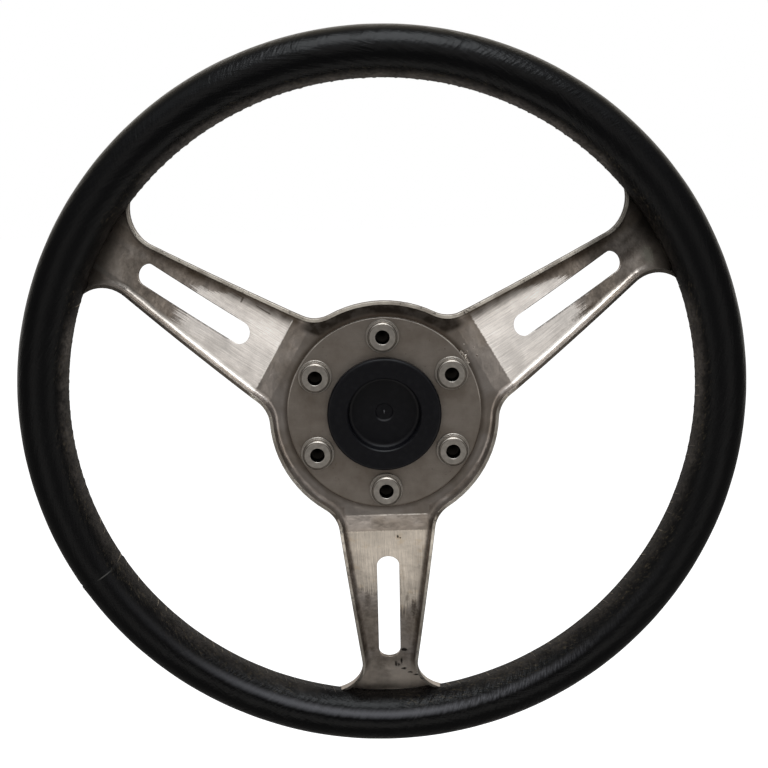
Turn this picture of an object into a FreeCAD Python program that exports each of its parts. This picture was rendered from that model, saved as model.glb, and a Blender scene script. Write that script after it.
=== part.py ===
"""A boat steering wheel: dished three-spoke steel spider, hub plate with six bushes, black centre cap
and a leather-covered rim.

Millimetres. +Z is up, the driver sits on the +Y side and the mounting side faces -Y. The origin is the
centre of the bolt circle, in the plane of the bush faces that the steering hub bolts against.
"""
import FreeCAD
import Part
import Sketcher
import math
import os

from FreeCAD import Placement, Rotation, Vector

# Driving dimensions, in millimetres, degrees or counts

SIZES = {
    # Wheel
    "wheel_diameter": 360,
    "grip_diameter": 25.4,
    "dish_depth": 45,
    "spoke_count": 3,
    # Pressed sheet of the spider
    "sheet_thickness": 1.5,
    "inner_corner_radius": 2.6,
    "bend_radius": 2.5,
    "wall_height": 6.2,
    "wall_setback": 0.5,
    # Hub of the spider
    "hub_radius": 53.9,
    "hub_valley_radius": 14,
    "first_bend": 50,
    "second_bend": 58.6,
    "band_drop": 1.2,
    # Spokes, as seen along the wheel's axis
    "spoke_root": 30,
    "spoke_root_half_width": 25.7,
    "spoke_side_angle": 6.4,
    "spoke_arch": 3,
    "flare_radius": 18,
    "flare_angle": 71,
    "flare_gap": 1.6,
    "tongue_half_width": 21.5,
    "tongue_bend_gap": 2.4,
    "tongue_overrun": 6.5,
    # Slot in each spoke
    "slot_inner": 77.1,
    "slot_outer": 128.1,
    "slot_width": 10.8,
    # Hub plate
    "plate_radius": 45.8,
    "plate_thickness": 2,
    "plate_edge_chamfer": 0.3,
    "fit_clearance": 0.1,
    # Bushes
    "bolt_circle": 74,
    "bush_count": 6,
    "bush_stand": 4.6,
    "bush_diameter": 14,
    "bush_chamfer": 0.8,
    "collar_diameter": 16,
    "collar_height": 1,
    "collar_chamfer": 0.3,
    "tail_diameter": 11,
    "thread_bore": 6.6,
    "thread_depth": 6.4,
    "thread_tip_depth": 1,
    "countersink": 0.25,
    # Centre cap
    "cap_radius": 26.9,
    "cap_setback": 0.4,
    "cap_edge_radius": 1.2,
    "cap_recess_radius": 17.2,
    "cap_recess_chamfer": 0.5,
    "cap_recess_depth": 6.5,
    "cap_dish": 0.8,
    "cap_fillet": 2,
    "cap_wall": 1.8,
    "cap_dimple_radius": 4.2,
    "cap_dimple_depth": 0.45,
    "cap_nib_radius": 0.8,
    "cap_nib_height": 1.1,
    "cap_crown_height": 3.2,
    "cap_crown_edge": 2.4,
    # Tack weld at the plate's edge
    "tack_angle": 38,
    "tack_length": 7,
    "tack_radius": 1.3,
    # Grip
    "core_diameter": 10,
    "leather_thickness": 1.2,
    "grip_clearance": 0.25,
    "weld_root_gap": 0.3,
    "core_weld_length": 22,
    "core_weld_height": 3.2,
    "core_weld_toe": 1.2,
    "thread_diameter": 1,
    "thread_gap": 0.1,
    "thread_end_gap": 11,
}

# Sizes worked out from the driving dimensions

RIM_RADIUS = "((Sizes.wheel_diameter - Sizes.grip_diameter) / 2)"
PLATE_FACE = "Sizes.bush_stand"
FLOOR = "(Sizes.bush_stand + Sizes.plate_thickness)"
BAND_END = f"({FLOOR} + Sizes.band_drop)"
TONGUE = "(Sizes.dish_depth + Sizes.core_diameter / 2 + Sizes.weld_root_gap)"
FLARE_END = f"({RIM_RADIUS} - Sizes.grip_diameter / 2 - Sizes.flare_gap)"
FLARE_CENTRE = f"({FLARE_END} - Sizes.flare_radius * sin(Sizes.flare_angle))"
NECK = f"({FLARE_CENTRE} - Sizes.flare_radius * sin(Sizes.spoke_side_angle))"
TONGUE_BEND = f"({FLARE_END} + Sizes.tongue_bend_gap)"
SPOKE_RISE = f"(({TONGUE} - {BAND_END}) / ({TONGUE_BEND} - Sizes.second_bend))"
SPOKE_SLANT = f"sqrt(1 + {SPOKE_RISE} ^ 2)"
SPOKE_CHORD = f"(({TONGUE_BEND} - Sizes.second_bend) * {SPOKE_SLANT})"
ARCH_RADIUS = f"({SPOKE_CHORD} ^ 2 / (8 * Sizes.spoke_arch) + Sizes.spoke_arch / 2)"
TONGUE_END = f"({RIM_RADIUS} + Sizes.tongue_overrun)"
CROWN_RADIUS = "(Sizes.cap_recess_radius + Sizes.cap_wall)"
CROWN_BORE = f"({CROWN_RADIUS} + Sizes.fit_clearance)"
TAIL_BORE = "(Sizes.tail_diameter / 2 + Sizes.fit_clearance)"
HUB_FRONT = f"({FLOOR} + Sizes.sheet_thickness)"

document = FreeCAD.newDocument("boat_steering_wheel")


def fill_sheet():
    """Write the driving dimensions into a spreadsheet and return it."""
    table = document.addObject("Spreadsheet::Sheet", "Sizes")
    for row, (name, size) in enumerate(SIZES.items(), start=1):
        table.set(f"A{row}", name)
        table.set(f"B{row}", str(size))
        table.setAlias(f"B{row}", name)
    document.recompute()
    return table


sheet = fill_sheet()


def number(expression):
    """The present value of an expression."""
    value = sheet.evalExpression(str(expression))
    return float(getattr(value, "Value", value))


# Helpers for bodies and sketches


def new_body(label):
    """A PartDesign body whose label names its file."""
    body = document.addObject("PartDesign::Body", label)
    body.Label = label
    return body


def new_sketch(body, role, name):
    """A sketch on one of the body's own origin planes."""
    plane = next(item for item in body.Origin.OriginFeatures if item.Role == role)
    sketch = body.newObject("Sketcher::SketchObject", name)
    sketch.AttachmentSupport = [(plane, "")]
    sketch.MapMode = "FlatFace"
    return sketch


def hold(sketch, expression, kind, *where):
    """Add a sketch dimension that follows an expression."""
    index = sketch.addConstraint(Sketcher.Constraint(kind, *where, number(expression)))
    sketch.setExpression(f"Constraints[{index}]", expression)


def place_point(sketch, geometry, end, across, along):
    """Hold one end of a sketch line or arc at a place given by two expressions."""
    for kind, axis, expression in (("DistanceX", -2, across), ("DistanceY", -1, along)):
        if expression == "0":
            sketch.addConstraint(Sketcher.Constraint("PointOnObject", geometry, end, axis))
        else:
            hold(sketch, expression, kind, -1, 1, geometry, end)


def draw_polygon(sketch, corners, arched=None, radius="0"):
    """Draw a closed polygon whose corners are pairs of expressions.

    The side after the corner whose index is arched is an arc that bulges to the left.
    """
    points = [Vector(number(across), number(along), 0) for across, along in corners]
    for index, (start, end) in enumerate(zip(points, points[1:] + points[:1])):
        if index == arched:
            chord = end - start
            rise = number(radius) - math.sqrt(number(radius) ** 2 - chord.Length**2 / 4)
            aside = Vector(-chord.y, chord.x, 0).normalize() * rise
            sketch.addGeometry(Part.Arc(start, (start + end) / 2 + aside, end), False)
        else:
            sketch.addGeometry(Part.LineSegment(start, end), False)
    ends = [sketch_ends(sketch, index, point) for index, point in enumerate(points)]
    for index in range(len(points)):
        following = (index + 1) % len(points)
        joint = Sketcher.Constraint("Coincident", index, ends[index][1], following, ends[following][0])
        sketch.addConstraint(joint)
    for index, (across, along) in enumerate(corners):
        place_point(sketch, index, ends[index][0], across, along)
    if arched is not None:
        hold(sketch, radius, "Radius", arched)


def sketch_ends(sketch, index, start):
    """Which end of a sketch line or arc lies at its start, and which is the other."""
    return (1, 2) if (sketch.getPoint(index, 1) - start).Length < 0.001 else (2, 1)


def draw_circle(sketch, radius, along="0"):
    """Draw a circle of a given radius, centred on the sketch's upright axis."""
    centre = Vector(0, number(along), 0)
    index = sketch.addGeometry(Part.Circle(centre, Vector(0, 0, 1), number(radius)), False)
    place_point(sketch, index, 3, "0", along)
    hold(sketch, radius, "Radius", index)


def extrude(body, kind, name, sketch, length):
    """A pad or pocket that runs the same way on both sides of its sketch."""
    feature = body.newObject(kind, name)
    feature.Profile = sketch
    feature.Midplane = True
    feature.setExpression("Length", length)
    document.recompute()
    return feature


def revolve(body, name, sketch):
    """Turn a sketch round the wheel's axis, which is its upright axis."""
    feature = body.newObject("PartDesign::Revolution", name)
    feature.Profile = sketch
    feature.ReferenceAxis = (sketch, ["V_Axis"])
    document.recompute()
    return feature


def repeat(body, name, features, count):
    """Repeat features round the wheel's axis."""
    axis = next(item for item in body.Origin.OriginFeatures if item.Role == "Y_Axis")
    pattern = body.newObject("PartDesign::PolarPattern", name)
    pattern.Originals = features
    pattern.Axis = (axis, [""])
    pattern.Angle = 360
    pattern.setExpression("Occurrences", count)
    body.Tip = pattern
    document.recompute()
    return pattern


def dress(body, kind, name, edges, size_name, size):
    """A fillet or chamfer on the edges of the body's present shape that pass a test."""
    base = body.Tip
    found = [f"Edge{i}" for i, edge in enumerate(base.Shape.Edges, start=1) if edges(edge)]
    feature = body.newObject(kind, name)
    feature.Base = (base, found)
    feature.setExpression(size_name, size)
    document.recompute()
    return feature


def is_ring(radius, depth):
    """A test for circular edges round the wheel's axis."""
    wanted = (number(radius), number(depth))

    def test(edge):
        curve = edge.Curve
        if not isinstance(curve, Part.Circle):
            return False
        return math.isclose(curve.Radius, wanted[0], abs_tol=0.01) and math.isclose(
            curve.Center.y, wanted[1], abs_tol=0.01
        )

    return test


# The spider: one pressed sheet, drawn with a spoke upright and turned to hang one spoke down


def draw_spoke(sketch, inset, tip, end_half_width, end):
    """Draw one spoke in plan, a given distance inside its outer line.

    The side line runs straight to the neck and flares out in an arc up to the tip. The tongue beyond it
    has its own half width and end.
    """
    angle = "Sizes.spoke_side_angle"
    root = "Sizes.spoke_root"
    root_half = f"(Sizes.spoke_root_half_width - {inset} / cos({angle}))"
    neck = f"({NECK} - {inset} * sin({angle}))"
    neck_half = f"({root_half} - ({neck} - {root}) * tan({angle}))"
    radius = f"(Sizes.flare_radius + {inset})"
    tilt = math.radians(number(angle))
    reach = number(radius)
    rise = math.asin((number(tip) - number(FLARE_CENTRE)) / reach)
    sides = []
    for side, inner_end, outer_end in ((-1, 1, 2), (1, 2, 1)):
        start = Vector(side * number(root_half), number(root), 0)
        middle = Vector(side * number(neck_half), number(neck), 0)
        centre = middle + Vector(side * math.cos(tilt), math.sin(tilt), 0) * reach
        turn = (math.pi - rise, math.pi + tilt) if side > 0 else (-tilt, rise)
        line = sketch.addGeometry(Part.LineSegment(start, middle), False)
        circle = Part.Circle(centre, Vector(0, 0, 1), reach)
        arc = sketch.addGeometry(Part.ArcOfCircle(circle, *turn), False)
        place_point(sketch, line, 1, f"{side} * {root_half}", root)
        place_point(sketch, line, 2, f"{side} * {neck_half}", neck)
        sketch.addConstraint(Sketcher.Constraint("Tangent", line, 2, arc, inner_end))
        hold(sketch, radius, "Radius", arc)
        hold(sketch, tip, "DistanceY", -1, 1, arc, outer_end)
        sides.append((line, arc, outer_end))
    (left, left_arc, left_tip), (right, right_arc, right_tip) = sides
    corners = [
        (-1, tip),
        (-1, end),
        (1, end),
        (1, tip),
    ]
    points = [Vector(side * number(end_half_width), number(level), 0) for side, level in corners]
    points = [sketch.getPoint(left_arc, left_tip), *points, sketch.getPoint(right_arc, right_tip)]
    chain = [
        sketch.addGeometry(Part.LineSegment(first, second), False)
        for first, second in zip(points, points[1:])
    ]
    for index, (side, level) in zip(chain, corners):
        place_point(sketch, index, 2, f"{side} * {end_half_width}", level)
    for first, second in zip(chain, chain[1:]):
        sketch.addConstraint(Sketcher.Constraint("Coincident", first, 2, second, 1))
    sketch.addConstraint(Sketcher.Constraint("Coincident", chain[0], 1, left_arc, left_tip))
    sketch.addConstraint(Sketcher.Constraint("Coincident", chain[-1], 2, right_arc, right_tip))
    root_line = Part.LineSegment(sketch.getPoint(left, 1), sketch.getPoint(right, 1))
    base = sketch.addGeometry(root_line, False)
    sketch.addConstraint(Sketcher.Constraint("Coincident", base, 1, left, 1))
    sketch.addConstraint(Sketcher.Constraint("Coincident", base, 2, right, 1))


def tray_plan(body, inset, tip, end_half_width, end):
    """Hub disc and three spokes as upright prisms, with rounded valleys between them."""
    depth = "4 * Sizes.dish_depth"
    hub = new_sketch(body, "XZ_Plane", body.Name + "_hub_plan")
    draw_circle(hub, f"Sizes.hub_radius - {inset}")
    extrude(body, "PartDesign::Pad", body.Name + "_hub", hub, depth)
    spoke = new_sketch(body, "XZ_Plane", body.Name + "_spoke_plan")
    draw_spoke(spoke, inset, tip, end_half_width, end)
    pad = extrude(body, "PartDesign::Pad", body.Name + "_spoke", spoke, depth)
    repeat(body, body.Name + "_spokes", [pad], "Sizes.spoke_count")
    hub_radius = number(f"Sizes.hub_radius - {inset}")

    def is_valley(edge):
        ends = [vertex.Point for vertex in edge.Vertexes]
        if len(ends) != 2 or abs(ends[0].y - ends[1].y) < 1:
            return False
        return all(math.isclose(math.hypot(p.x, p.z), hub_radius, abs_tol=0.01) for p in ends)

    valley = f"Sizes.hub_valley_radius + {inset}"
    dress(body, "PartDesign::Fillet", body.Name + "_valleys", is_valley, "Radius", valley)


def trim_above(body, lift):
    """Cut away what lies behind the edge of the wall, and behind the tongue inside the grip.

    The cut stays a little clear of the tongue, whose upper face the hollow trims.
    """
    sketch = new_sketch(body, "YZ_Plane", body.Name + "_edge_line")
    far = "-3 * Sizes.dish_depth"
    end = "Sizes.wheel_diameter"
    wall_end = f"({FLARE_END} + {lift})"
    wall_end_floor = f"({BAND_END} + {SPOKE_RISE} * ({wall_end} - Sizes.second_bend))"
    clear = f"({lift} + Sizes.sheet_thickness / 2)"
    corners = [
        (far, "0"),
        (f"Sizes.wall_setback - {lift}", "0"),
        (f"Sizes.wall_setback - {lift}", "Sizes.first_bend"),
        (f"{BAND_END} - Sizes.wall_height - {lift}", "Sizes.second_bend"),
        (f"{wall_end_floor} - Sizes.wall_height - {lift}", wall_end),
        (f"{wall_end_floor} - {clear}", wall_end),
        (f"{TONGUE} - {clear}", TONGUE_BEND),
        (f"{TONGUE} - {clear}", end),
        (far, end),
    ]
    draw_polygon(sketch, corners, arched=3, radius=f"({ARCH_RADIUS} + Sizes.wall_height + {lift})")
    cut = extrude(body, "PartDesign::Pocket", body.Name + "_edge_cut", sketch, "2 * Sizes.wheel_diameter")
    repeat(body, body.Name + "_edge_cuts", [cut], "Sizes.spoke_count")


def trim_below(body, drop):
    """Cut away what lies in front of the floor, a given distance below its upper face."""
    sketch = new_sketch(body, "YZ_Plane", body.Name + "_floor_line")
    near = "3 * Sizes.dish_depth"
    end = "Sizes.wheel_diameter"
    bend_shift = f"({drop} * ({SPOKE_SLANT} - 1) / {SPOKE_RISE})"
    corners = [
        (near, "0"),
        (f"{FLOOR} + {drop}", "0"),
        (f"{FLOOR} + {drop}", "Sizes.first_bend"),
        (f"{BAND_END} + {drop}", f"Sizes.second_bend - {bend_shift}"),
        (f"{TONGUE} + {drop}", f"{TONGUE_BEND} - {bend_shift}"),
        (f"{TONGUE} + {drop}", end),
        (near, end),
    ]
    draw_polygon(sketch, corners, arched=3, radius=f"({ARCH_RADIUS} - {drop})")
    cut = extrude(body, "PartDesign::Pocket", body.Name + "_floor_cut", sketch, "2 * Sizes.wheel_diameter")
    repeat(body, body.Name + "_floor_cuts", [cut], "Sizes.spoke_count")


def floor_depth(place):
    """Depth of the floor's upper face at a place along a spoke."""
    marks = [
        (0, FLOOR),
        ("Sizes.first_bend", FLOOR),
        ("Sizes.second_bend", BAND_END),
        (TONGUE_BEND, TONGUE),
        ("Sizes.wheel_diameter", TONGUE),
    ]
    marks = [(number(at), number(depth)) for at, depth in marks]
    for (start, low), (end, high) in zip(marks, marks[1:]):
        if place <= end:
            share = (place - start) / (end - start)
            arched = start == SIZES["second_bend"]
            arch = 4 * SIZES["spoke_arch"] * share * (1 - share) if arched else 0
            return low + (high - low) * share - arch
    return marks[-1][1]


def along_spoke(point):
    """Distance out along the nearest spoke, and distance across it."""
    turns = [2 * math.pi * i / number("Sizes.spoke_count") for i in range(SIZES["spoke_count"])]
    places = [
        (point.x * math.sin(t) + point.z * math.cos(t), point.x * math.cos(t) - point.z * math.sin(t))
        for t in turns
    ]
    return max(places)


def round_bends(body, radius):
    """Round the floor and edge lines where the sheet is bent across the spokes."""

    def is_bend(edge):
        if not isinstance(edge.Curve, Part.Line):
            return False
        first, last = (along_spoke(vertex.Point) for vertex in edge.Vertexes)
        level = abs(edge.Vertexes[0].Point.y - edge.Vertexes[1].Point.y) < 0.01
        across = abs(first[0] - last[0]) < 0.01 and abs(first[1] - last[1]) > 1
        return level and across and first[0] < number(FLARE_END) - 1

    dress(body, "PartDesign::Fillet", body.Name + "_bends", is_bend, "Radius", radius)


def round_corner(body, radius):
    """Round the long corner between floor and wall."""

    def is_corner(edge):
        middle = edge.valueAt((edge.FirstParameter + edge.LastParameter) / 2)
        out, across = along_spoke(middle)
        ends = [vertex.Point for vertex in edge.Vertexes]
        upright = len(ends) == 2 and math.hypot(ends[0].x - ends[1].x, ends[0].z - ends[1].z) < 0.01
        if upright or out > number(FLARE_END) - 0.01:
            return False
        low = middle.y > floor_depth(out) - number("Sizes.wall_height") / 2
        if out > number("Sizes.first_bend") - 4:
            return low and any(abs(along_spoke(p)[0] - out) > 0.05 for p in ends)
        return low

    dress(body, "PartDesign::Fillet", body.Name + "_corner", is_corner, "Radius", radius)


def tray_blank(name, growth):
    """The outside of the spider: floor underside, outer wall and wall edge."""
    body = new_body(name)
    tip = f"({FLARE_END} + {growth})"
    tongue_half_width = f"(Sizes.tongue_half_width + {growth})"
    tray_plan(body, f"(0 - {growth})", tip, tongue_half_width, f"({TONGUE_END} + {growth})")
    trim_above(body, growth)
    trim_below(body, f"(Sizes.sheet_thickness + {growth})")
    round_bends(body, "Sizes.bend_radius")
    round_corner(body, f"Sizes.inner_corner_radius + Sizes.sheet_thickness + {growth}")
    return body


def tray_hollow(name, growth):
    """The space inside the spider, above its floor and between its walls."""
    body = new_body(name)
    inset = f"(Sizes.sheet_thickness + {growth})"
    tongue_half_width = "(Sizes.tongue_half_width + 2 * Sizes.grip_clearance)"
    tray_plan(body, inset, FLARE_END, tongue_half_width, "Sizes.wheel_diameter")
    trim_below(body, f"(0 - {growth})")
    round_bends(body, "Sizes.bend_radius")
    round_corner(body, f"Sizes.inner_corner_radius - {growth}")
    return body


def draw_slot(sketch, half_length, half_width):
    """Draw an upright slot with round ends, centred on the sketch's origin."""
    reach = number(half_length)
    radius = number(half_width)
    upper = Part.Circle(Vector(0, reach, 0), Vector(0, 0, 1), radius)
    lower = Part.Circle(Vector(0, -reach, 0), Vector(0, 0, 1), radius)
    top = sketch.addGeometry(Part.ArcOfCircle(upper, 0, math.pi), False)
    bottom = sketch.addGeometry(Part.ArcOfCircle(lower, math.pi, 2 * math.pi), False)
    left = sketch.addGeometry(
        Part.LineSegment(Vector(-radius, reach, 0), Vector(-radius, -reach, 0)), False
    )
    right = sketch.addGeometry(
        Part.LineSegment(Vector(radius, -reach, 0), Vector(radius, reach, 0)), False
    )
    for first, first_end, second, second_end in (
        (top, 2, left, 1),
        (left, 2, bottom, 1),
        (bottom, 2, right, 1),
        (right, 2, top, 1),
    ):
        sketch.addConstraint(Sketcher.Constraint("Tangent", first, first_end, second, second_end))
    place_point(sketch, top, 3, "0", half_length)
    place_point(sketch, bottom, 3, "0", f"0 - {half_length}")
    hold(sketch, half_width, "Radius", top)


def punch_slots(body):
    """Punch the slot of each spoke square through its sloping floor."""
    middle = "(Sizes.slot_inner + Sizes.slot_outer) / 2"
    sketch = new_sketch(body, "XZ_Plane", body.Name + "_slot_line")
    sketch.AttachmentOffset = Placement(Vector(), Rotation(Vector(-1, 0, 0), 1))
    depth = f"{BAND_END} + {SPOKE_RISE} * ({middle} - Sizes.second_bend)"
    sketch.setExpression("AttachmentOffset.Base.y", middle)
    sketch.setExpression("AttachmentOffset.Base.z", f"0 - ({depth})")
    sketch.setExpression("AttachmentOffset.Rotation.Angle", f"atan({SPOKE_RISE})")
    half_length = f"(Sizes.slot_outer - Sizes.slot_inner) / 2 * {SPOKE_SLANT}"
    draw_slot(sketch, half_length, "Sizes.slot_width / 2")
    depth = "4 * (Sizes.sheet_thickness + Sizes.spoke_arch)"
    cut = extrude(body, "PartDesign::Pocket", body.Name + "_slot", sketch, depth)
    repeat(body, body.Name + "_slots", [cut], "Sizes.spoke_count")


def bore_hub(body, length):
    """Bore the hole for the cap's crown and the holes for the tails of the bushes."""
    crown = new_sketch(body, "XZ_Plane", body.Name + "_crown_line")
    draw_circle(crown, CROWN_BORE)
    extrude(body, "PartDesign::Pocket", body.Name + "_crown_bore", crown, length)
    tail = new_sketch(body, "XZ_Plane", body.Name + "_tail_line")
    draw_circle(tail, TAIL_BORE, "Sizes.bolt_circle / 2")
    cut = extrude(body, "PartDesign::Pocket", body.Name + "_tail_bore", tail, length)
    repeat(body, body.Name + "_tail_bores", [cut], "Sizes.bush_count")


HANGING = Placement(Vector(), Rotation(Vector(0, 1, 0), 180))
ROUND_THE_WHEEL = Rotation(Vector(1, 0, 0), -90)


def combine(kind, label, base, tool):
    """A Part boolean of two document objects."""
    result = document.addObject(kind, label)
    result.Label = label
    result.Base = base
    result.Tool = tool
    document.recompute()
    return result


def spoke_spider():
    """The pressed sheet itself: the blank less its hollow."""
    blank = tray_blank("spider_blank", "0")
    punch_slots(blank)
    bore_hub(blank, "Sizes.wheel_diameter")
    blank.Placement = HANGING
    hollow = tray_hollow("spider_hollow", "0")
    hollow.Placement = HANGING
    return combine("Part::Cut", "spoke_spider", blank, hollow)


def spoke_passage():
    """The room that the grip leaves for the spoke ends."""
    blank = tray_blank("passage_blank", "Sizes.grip_clearance")
    blank.Placement = HANGING
    hollow = tray_hollow("passage_hollow", "Sizes.grip_clearance")
    hollow.Placement = HANGING
    return combine("Part::Cut", "spoke_passage", blank, hollow)


# The hub


def hub_plate():
    """The round disc that lies on the floor of the hub."""
    body = new_body("hub_plate")
    sketch = new_sketch(body, "YZ_Plane", "hub_plate_profile")
    face = PLATE_FACE
    rim = "Sizes.plate_radius"
    corners = [
        (face, "0"),
        (face, f"{rim} - Sizes.plate_edge_chamfer"),
        (f"{face} + Sizes.plate_edge_chamfer", rim),
        (FLOOR, rim),
        (FLOOR, "0"),
    ]
    draw_polygon(sketch, corners)
    feature = body.newObject("PartDesign::Revolution", "hub_plate_disc")
    feature.Profile = sketch
    feature.ReferenceAxis = (sketch, ["H_Axis"])
    document.recompute()
    bore_hub(body, "Sizes.wheel_diameter")
    return body


def hub_bush(index):
    """One turned bush: chamfered head, collar, tail through plate and floor, blind threaded bore."""
    body = new_body(f"hub_bush_{index + 1}")
    sketch = new_sketch(body, "XY_Plane", body.Name + "_profile")
    head = "Sizes.bush_diameter / 2"
    collar = "Sizes.collar_diameter / 2"
    collar_top = f"{PLATE_FACE} - Sizes.collar_height"
    tail = "Sizes.tail_diameter / 2"
    bore = "Sizes.thread_bore / 2"
    corners = [
        (f"{bore} + Sizes.countersink", "0"),
        (f"{head} - Sizes.bush_chamfer", "0"),
        (head, "Sizes.bush_chamfer"),
        (head, collar_top),
        (f"{collar} - Sizes.collar_chamfer", collar_top),
        (collar, f"{collar_top} + Sizes.collar_chamfer"),
        (collar, PLATE_FACE),
        (tail, PLATE_FACE),
        (tail, HUB_FRONT),
        ("0", HUB_FRONT),
        ("0", "Sizes.thread_depth + Sizes.thread_tip_depth"),
        (bore, "Sizes.thread_depth"),
        (bore, "Sizes.countersink"),
    ]
    draw_polygon(sketch, corners)
    revolve(body, body.Name + "_turning", sketch)
    angle = f"(90 - 360 / Sizes.bush_count * {index})"
    body.setExpression("Placement.Base.x", f"Sizes.bolt_circle / 2 * cos({angle})")
    body.setExpression("Placement.Base.z", f"Sizes.bolt_circle / 2 * sin({angle})")
    document.recompute()
    return body


def centre_cap():
    """The black moulding: recessed flange behind the plate, domed crown through to the front."""
    body = new_body("centre_cap")
    sketch = new_sketch(body, "XY_Plane", "centre_cap_profile")
    recess = "Sizes.cap_recess_radius"
    floor = "(Sizes.cap_setback + Sizes.cap_recess_depth)"
    dish = f"({floor} + Sizes.cap_dish)"
    dimple = f"({dish} + Sizes.cap_dimple_depth)"
    front = f"({HUB_FRONT} + Sizes.cap_crown_height)"
    corners = [
        ("0", f"{dimple} - Sizes.cap_nib_height"),
        ("Sizes.cap_nib_radius", dimple),
        ("Sizes.cap_dimple_radius - Sizes.cap_dimple_depth", dimple),
        ("Sizes.cap_dimple_radius", dish),
        (recess, floor),
        (recess, "Sizes.cap_setback + Sizes.cap_recess_chamfer"),
        (f"{recess} + Sizes.cap_recess_chamfer", "Sizes.cap_setback"),
        ("Sizes.cap_radius", "Sizes.cap_setback"),
        ("Sizes.cap_radius", PLATE_FACE),
        (CROWN_RADIUS, PLATE_FACE),
        (CROWN_RADIUS, front),
        ("0", front),
    ]
    draw_polygon(sketch, corners)
    revolve(body, "centre_cap_turning", sketch)
    fillets = (
        ("edge", "Sizes.cap_radius", "Sizes.cap_setback", "Sizes.cap_edge_radius"),
        ("recess", recess, floor, "Sizes.cap_fillet"),
        ("crown", CROWN_RADIUS, front, "Sizes.cap_crown_edge"),
    )
    for name, radius, depth, size in fillets:
        ring = is_ring(radius, depth)
        dress(body, "PartDesign::Fillet", f"centre_cap_{name}", ring, "Radius", size)
    return body


def torus(label, radius, tube, sweep=None):
    """A ring, or part of one, round the wheel's axis."""
    ring = document.addObject("Part::Torus", label)
    ring.Label = label
    ring.setExpression("Radius1", radius)
    ring.setExpression("Radius2", tube)
    if sweep is not None:
        ring.setExpression("Angle3", sweep)
    ring.Placement = Placement(Vector(), ROUND_THE_WHEEL)
    return ring


def plate_tack_weld(plate, spider):
    """The bead in the corner between the disc's edge and the floor."""
    bead = torus(
        "tack_bead",
        "Sizes.plate_radius",
        "Sizes.tack_radius",
        "Sizes.tack_length / Sizes.plate_radius * 180 / pi",
    )
    turn = Rotation(Vector(0, 1, 0), -SIZES["tack_angle"])
    bead.Placement = Placement(Vector(), turn.multiply(ROUND_THE_WHEEL))
    bead.setExpression("Placement.Base.y", FLOOR)
    document.recompute()
    above_floor = combine("Part::Cut", "tack_above_floor", bead, spider)
    return combine("Part::Cut", "plate_tack_weld", above_floor, plate)


# The grip


def rim_ring(label, tube):
    """A full ring at the middle of the grip."""
    ring = torus(label, RIM_RADIUS, tube)
    ring.setExpression("Placement.Base.y", "Sizes.dish_depth")
    document.recompute()
    return ring


def core_weld(index, core):
    """The weld that holds one spoke tongue to the steel ring."""
    body = new_body(f"core_weld_{index + 1}_bead")
    sketch = new_sketch(body, "YZ_Plane", body.Name + "_section")
    root = "(Sizes.core_diameter / 2 + Sizes.core_weld_toe)"
    top = "(Sizes.core_diameter / 2)"
    height = f"{TONGUE} - Sizes.core_weld_height"
    corners = [
        (TONGUE, f"{RIM_RADIUS} - {root}"),
        (TONGUE, f"{RIM_RADIUS} + {root}"),
        (height, f"{RIM_RADIUS} + {top}"),
        (height, f"{RIM_RADIUS} - {top}"),
    ]
    draw_polygon(sketch, corners)
    extrude(body, "PartDesign::Pad", body.Name + "_pad", sketch, "Sizes.core_weld_length")
    turn = 180 + 360 / SIZES["spoke_count"] * index
    body.Placement = Placement(Vector(), Rotation(Vector(0, 1, 0), turn))
    document.recompute()
    return combine("Part::Cut", f"core_weld_{index + 1}", body, core)


def weld_room(index):
    """The room that the padding leaves for one weld."""
    box = document.addObject("Part::Box", f"weld_room_{index + 1}")
    clear = "Sizes.grip_clearance"
    half_length = f"(Sizes.core_weld_length / 2 + {clear})"
    half_width = f"(Sizes.core_diameter / 2 + Sizes.core_weld_toe + {clear})"
    box.setExpression("Length", f"2 * {half_length}")
    box.setExpression("Width", f"Sizes.core_weld_height + 2 * {clear}")
    box.setExpression("Height", f"2 * {half_width}")
    turn = 180 + 360 / SIZES["spoke_count"] * index
    corner = Vector(
        -number(half_length),
        number(f"{TONGUE} - Sizes.core_weld_height - {clear}"),
        number(f"{RIM_RADIUS} - {half_width}"),
    )
    turning = Rotation(Vector(0, 1, 0), turn)
    box.Placement = Placement(turning.multVec(corner), turning)
    document.recompute()
    return box


def rim_foam(passage, rooms):
    """The padding moulded round the ring and the spoke ends."""
    outside = rim_ring(
        "foam_outside",
        "Sizes.grip_diameter / 2 - Sizes.leather_thickness - Sizes.grip_clearance",
    )
    inside = rim_ring("foam_inside", "Sizes.core_diameter / 2 + Sizes.grip_clearance")
    inner = document.addObject("Part::MultiFuse", "foam_inner")
    inner.Shapes = [inside, *rooms]
    document.recompute()
    hollow = combine("Part::Cut", "foam_hollow", outside, inner)
    return combine("Part::Cut", "rim_foam", hollow, passage)


def leather_cover(passage):
    """The leather round the padding, open where the spoke ends come in."""
    outside = rim_ring("leather_outside", "Sizes.grip_diameter / 2")
    inside = rim_ring("leather_inside", "Sizes.grip_diameter / 2 - Sizes.leather_thickness")
    hollow = combine("Part::Cut", "leather_hollow", outside, inside)
    return combine("Part::Cut", "leather_cover", hollow, passage)


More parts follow.
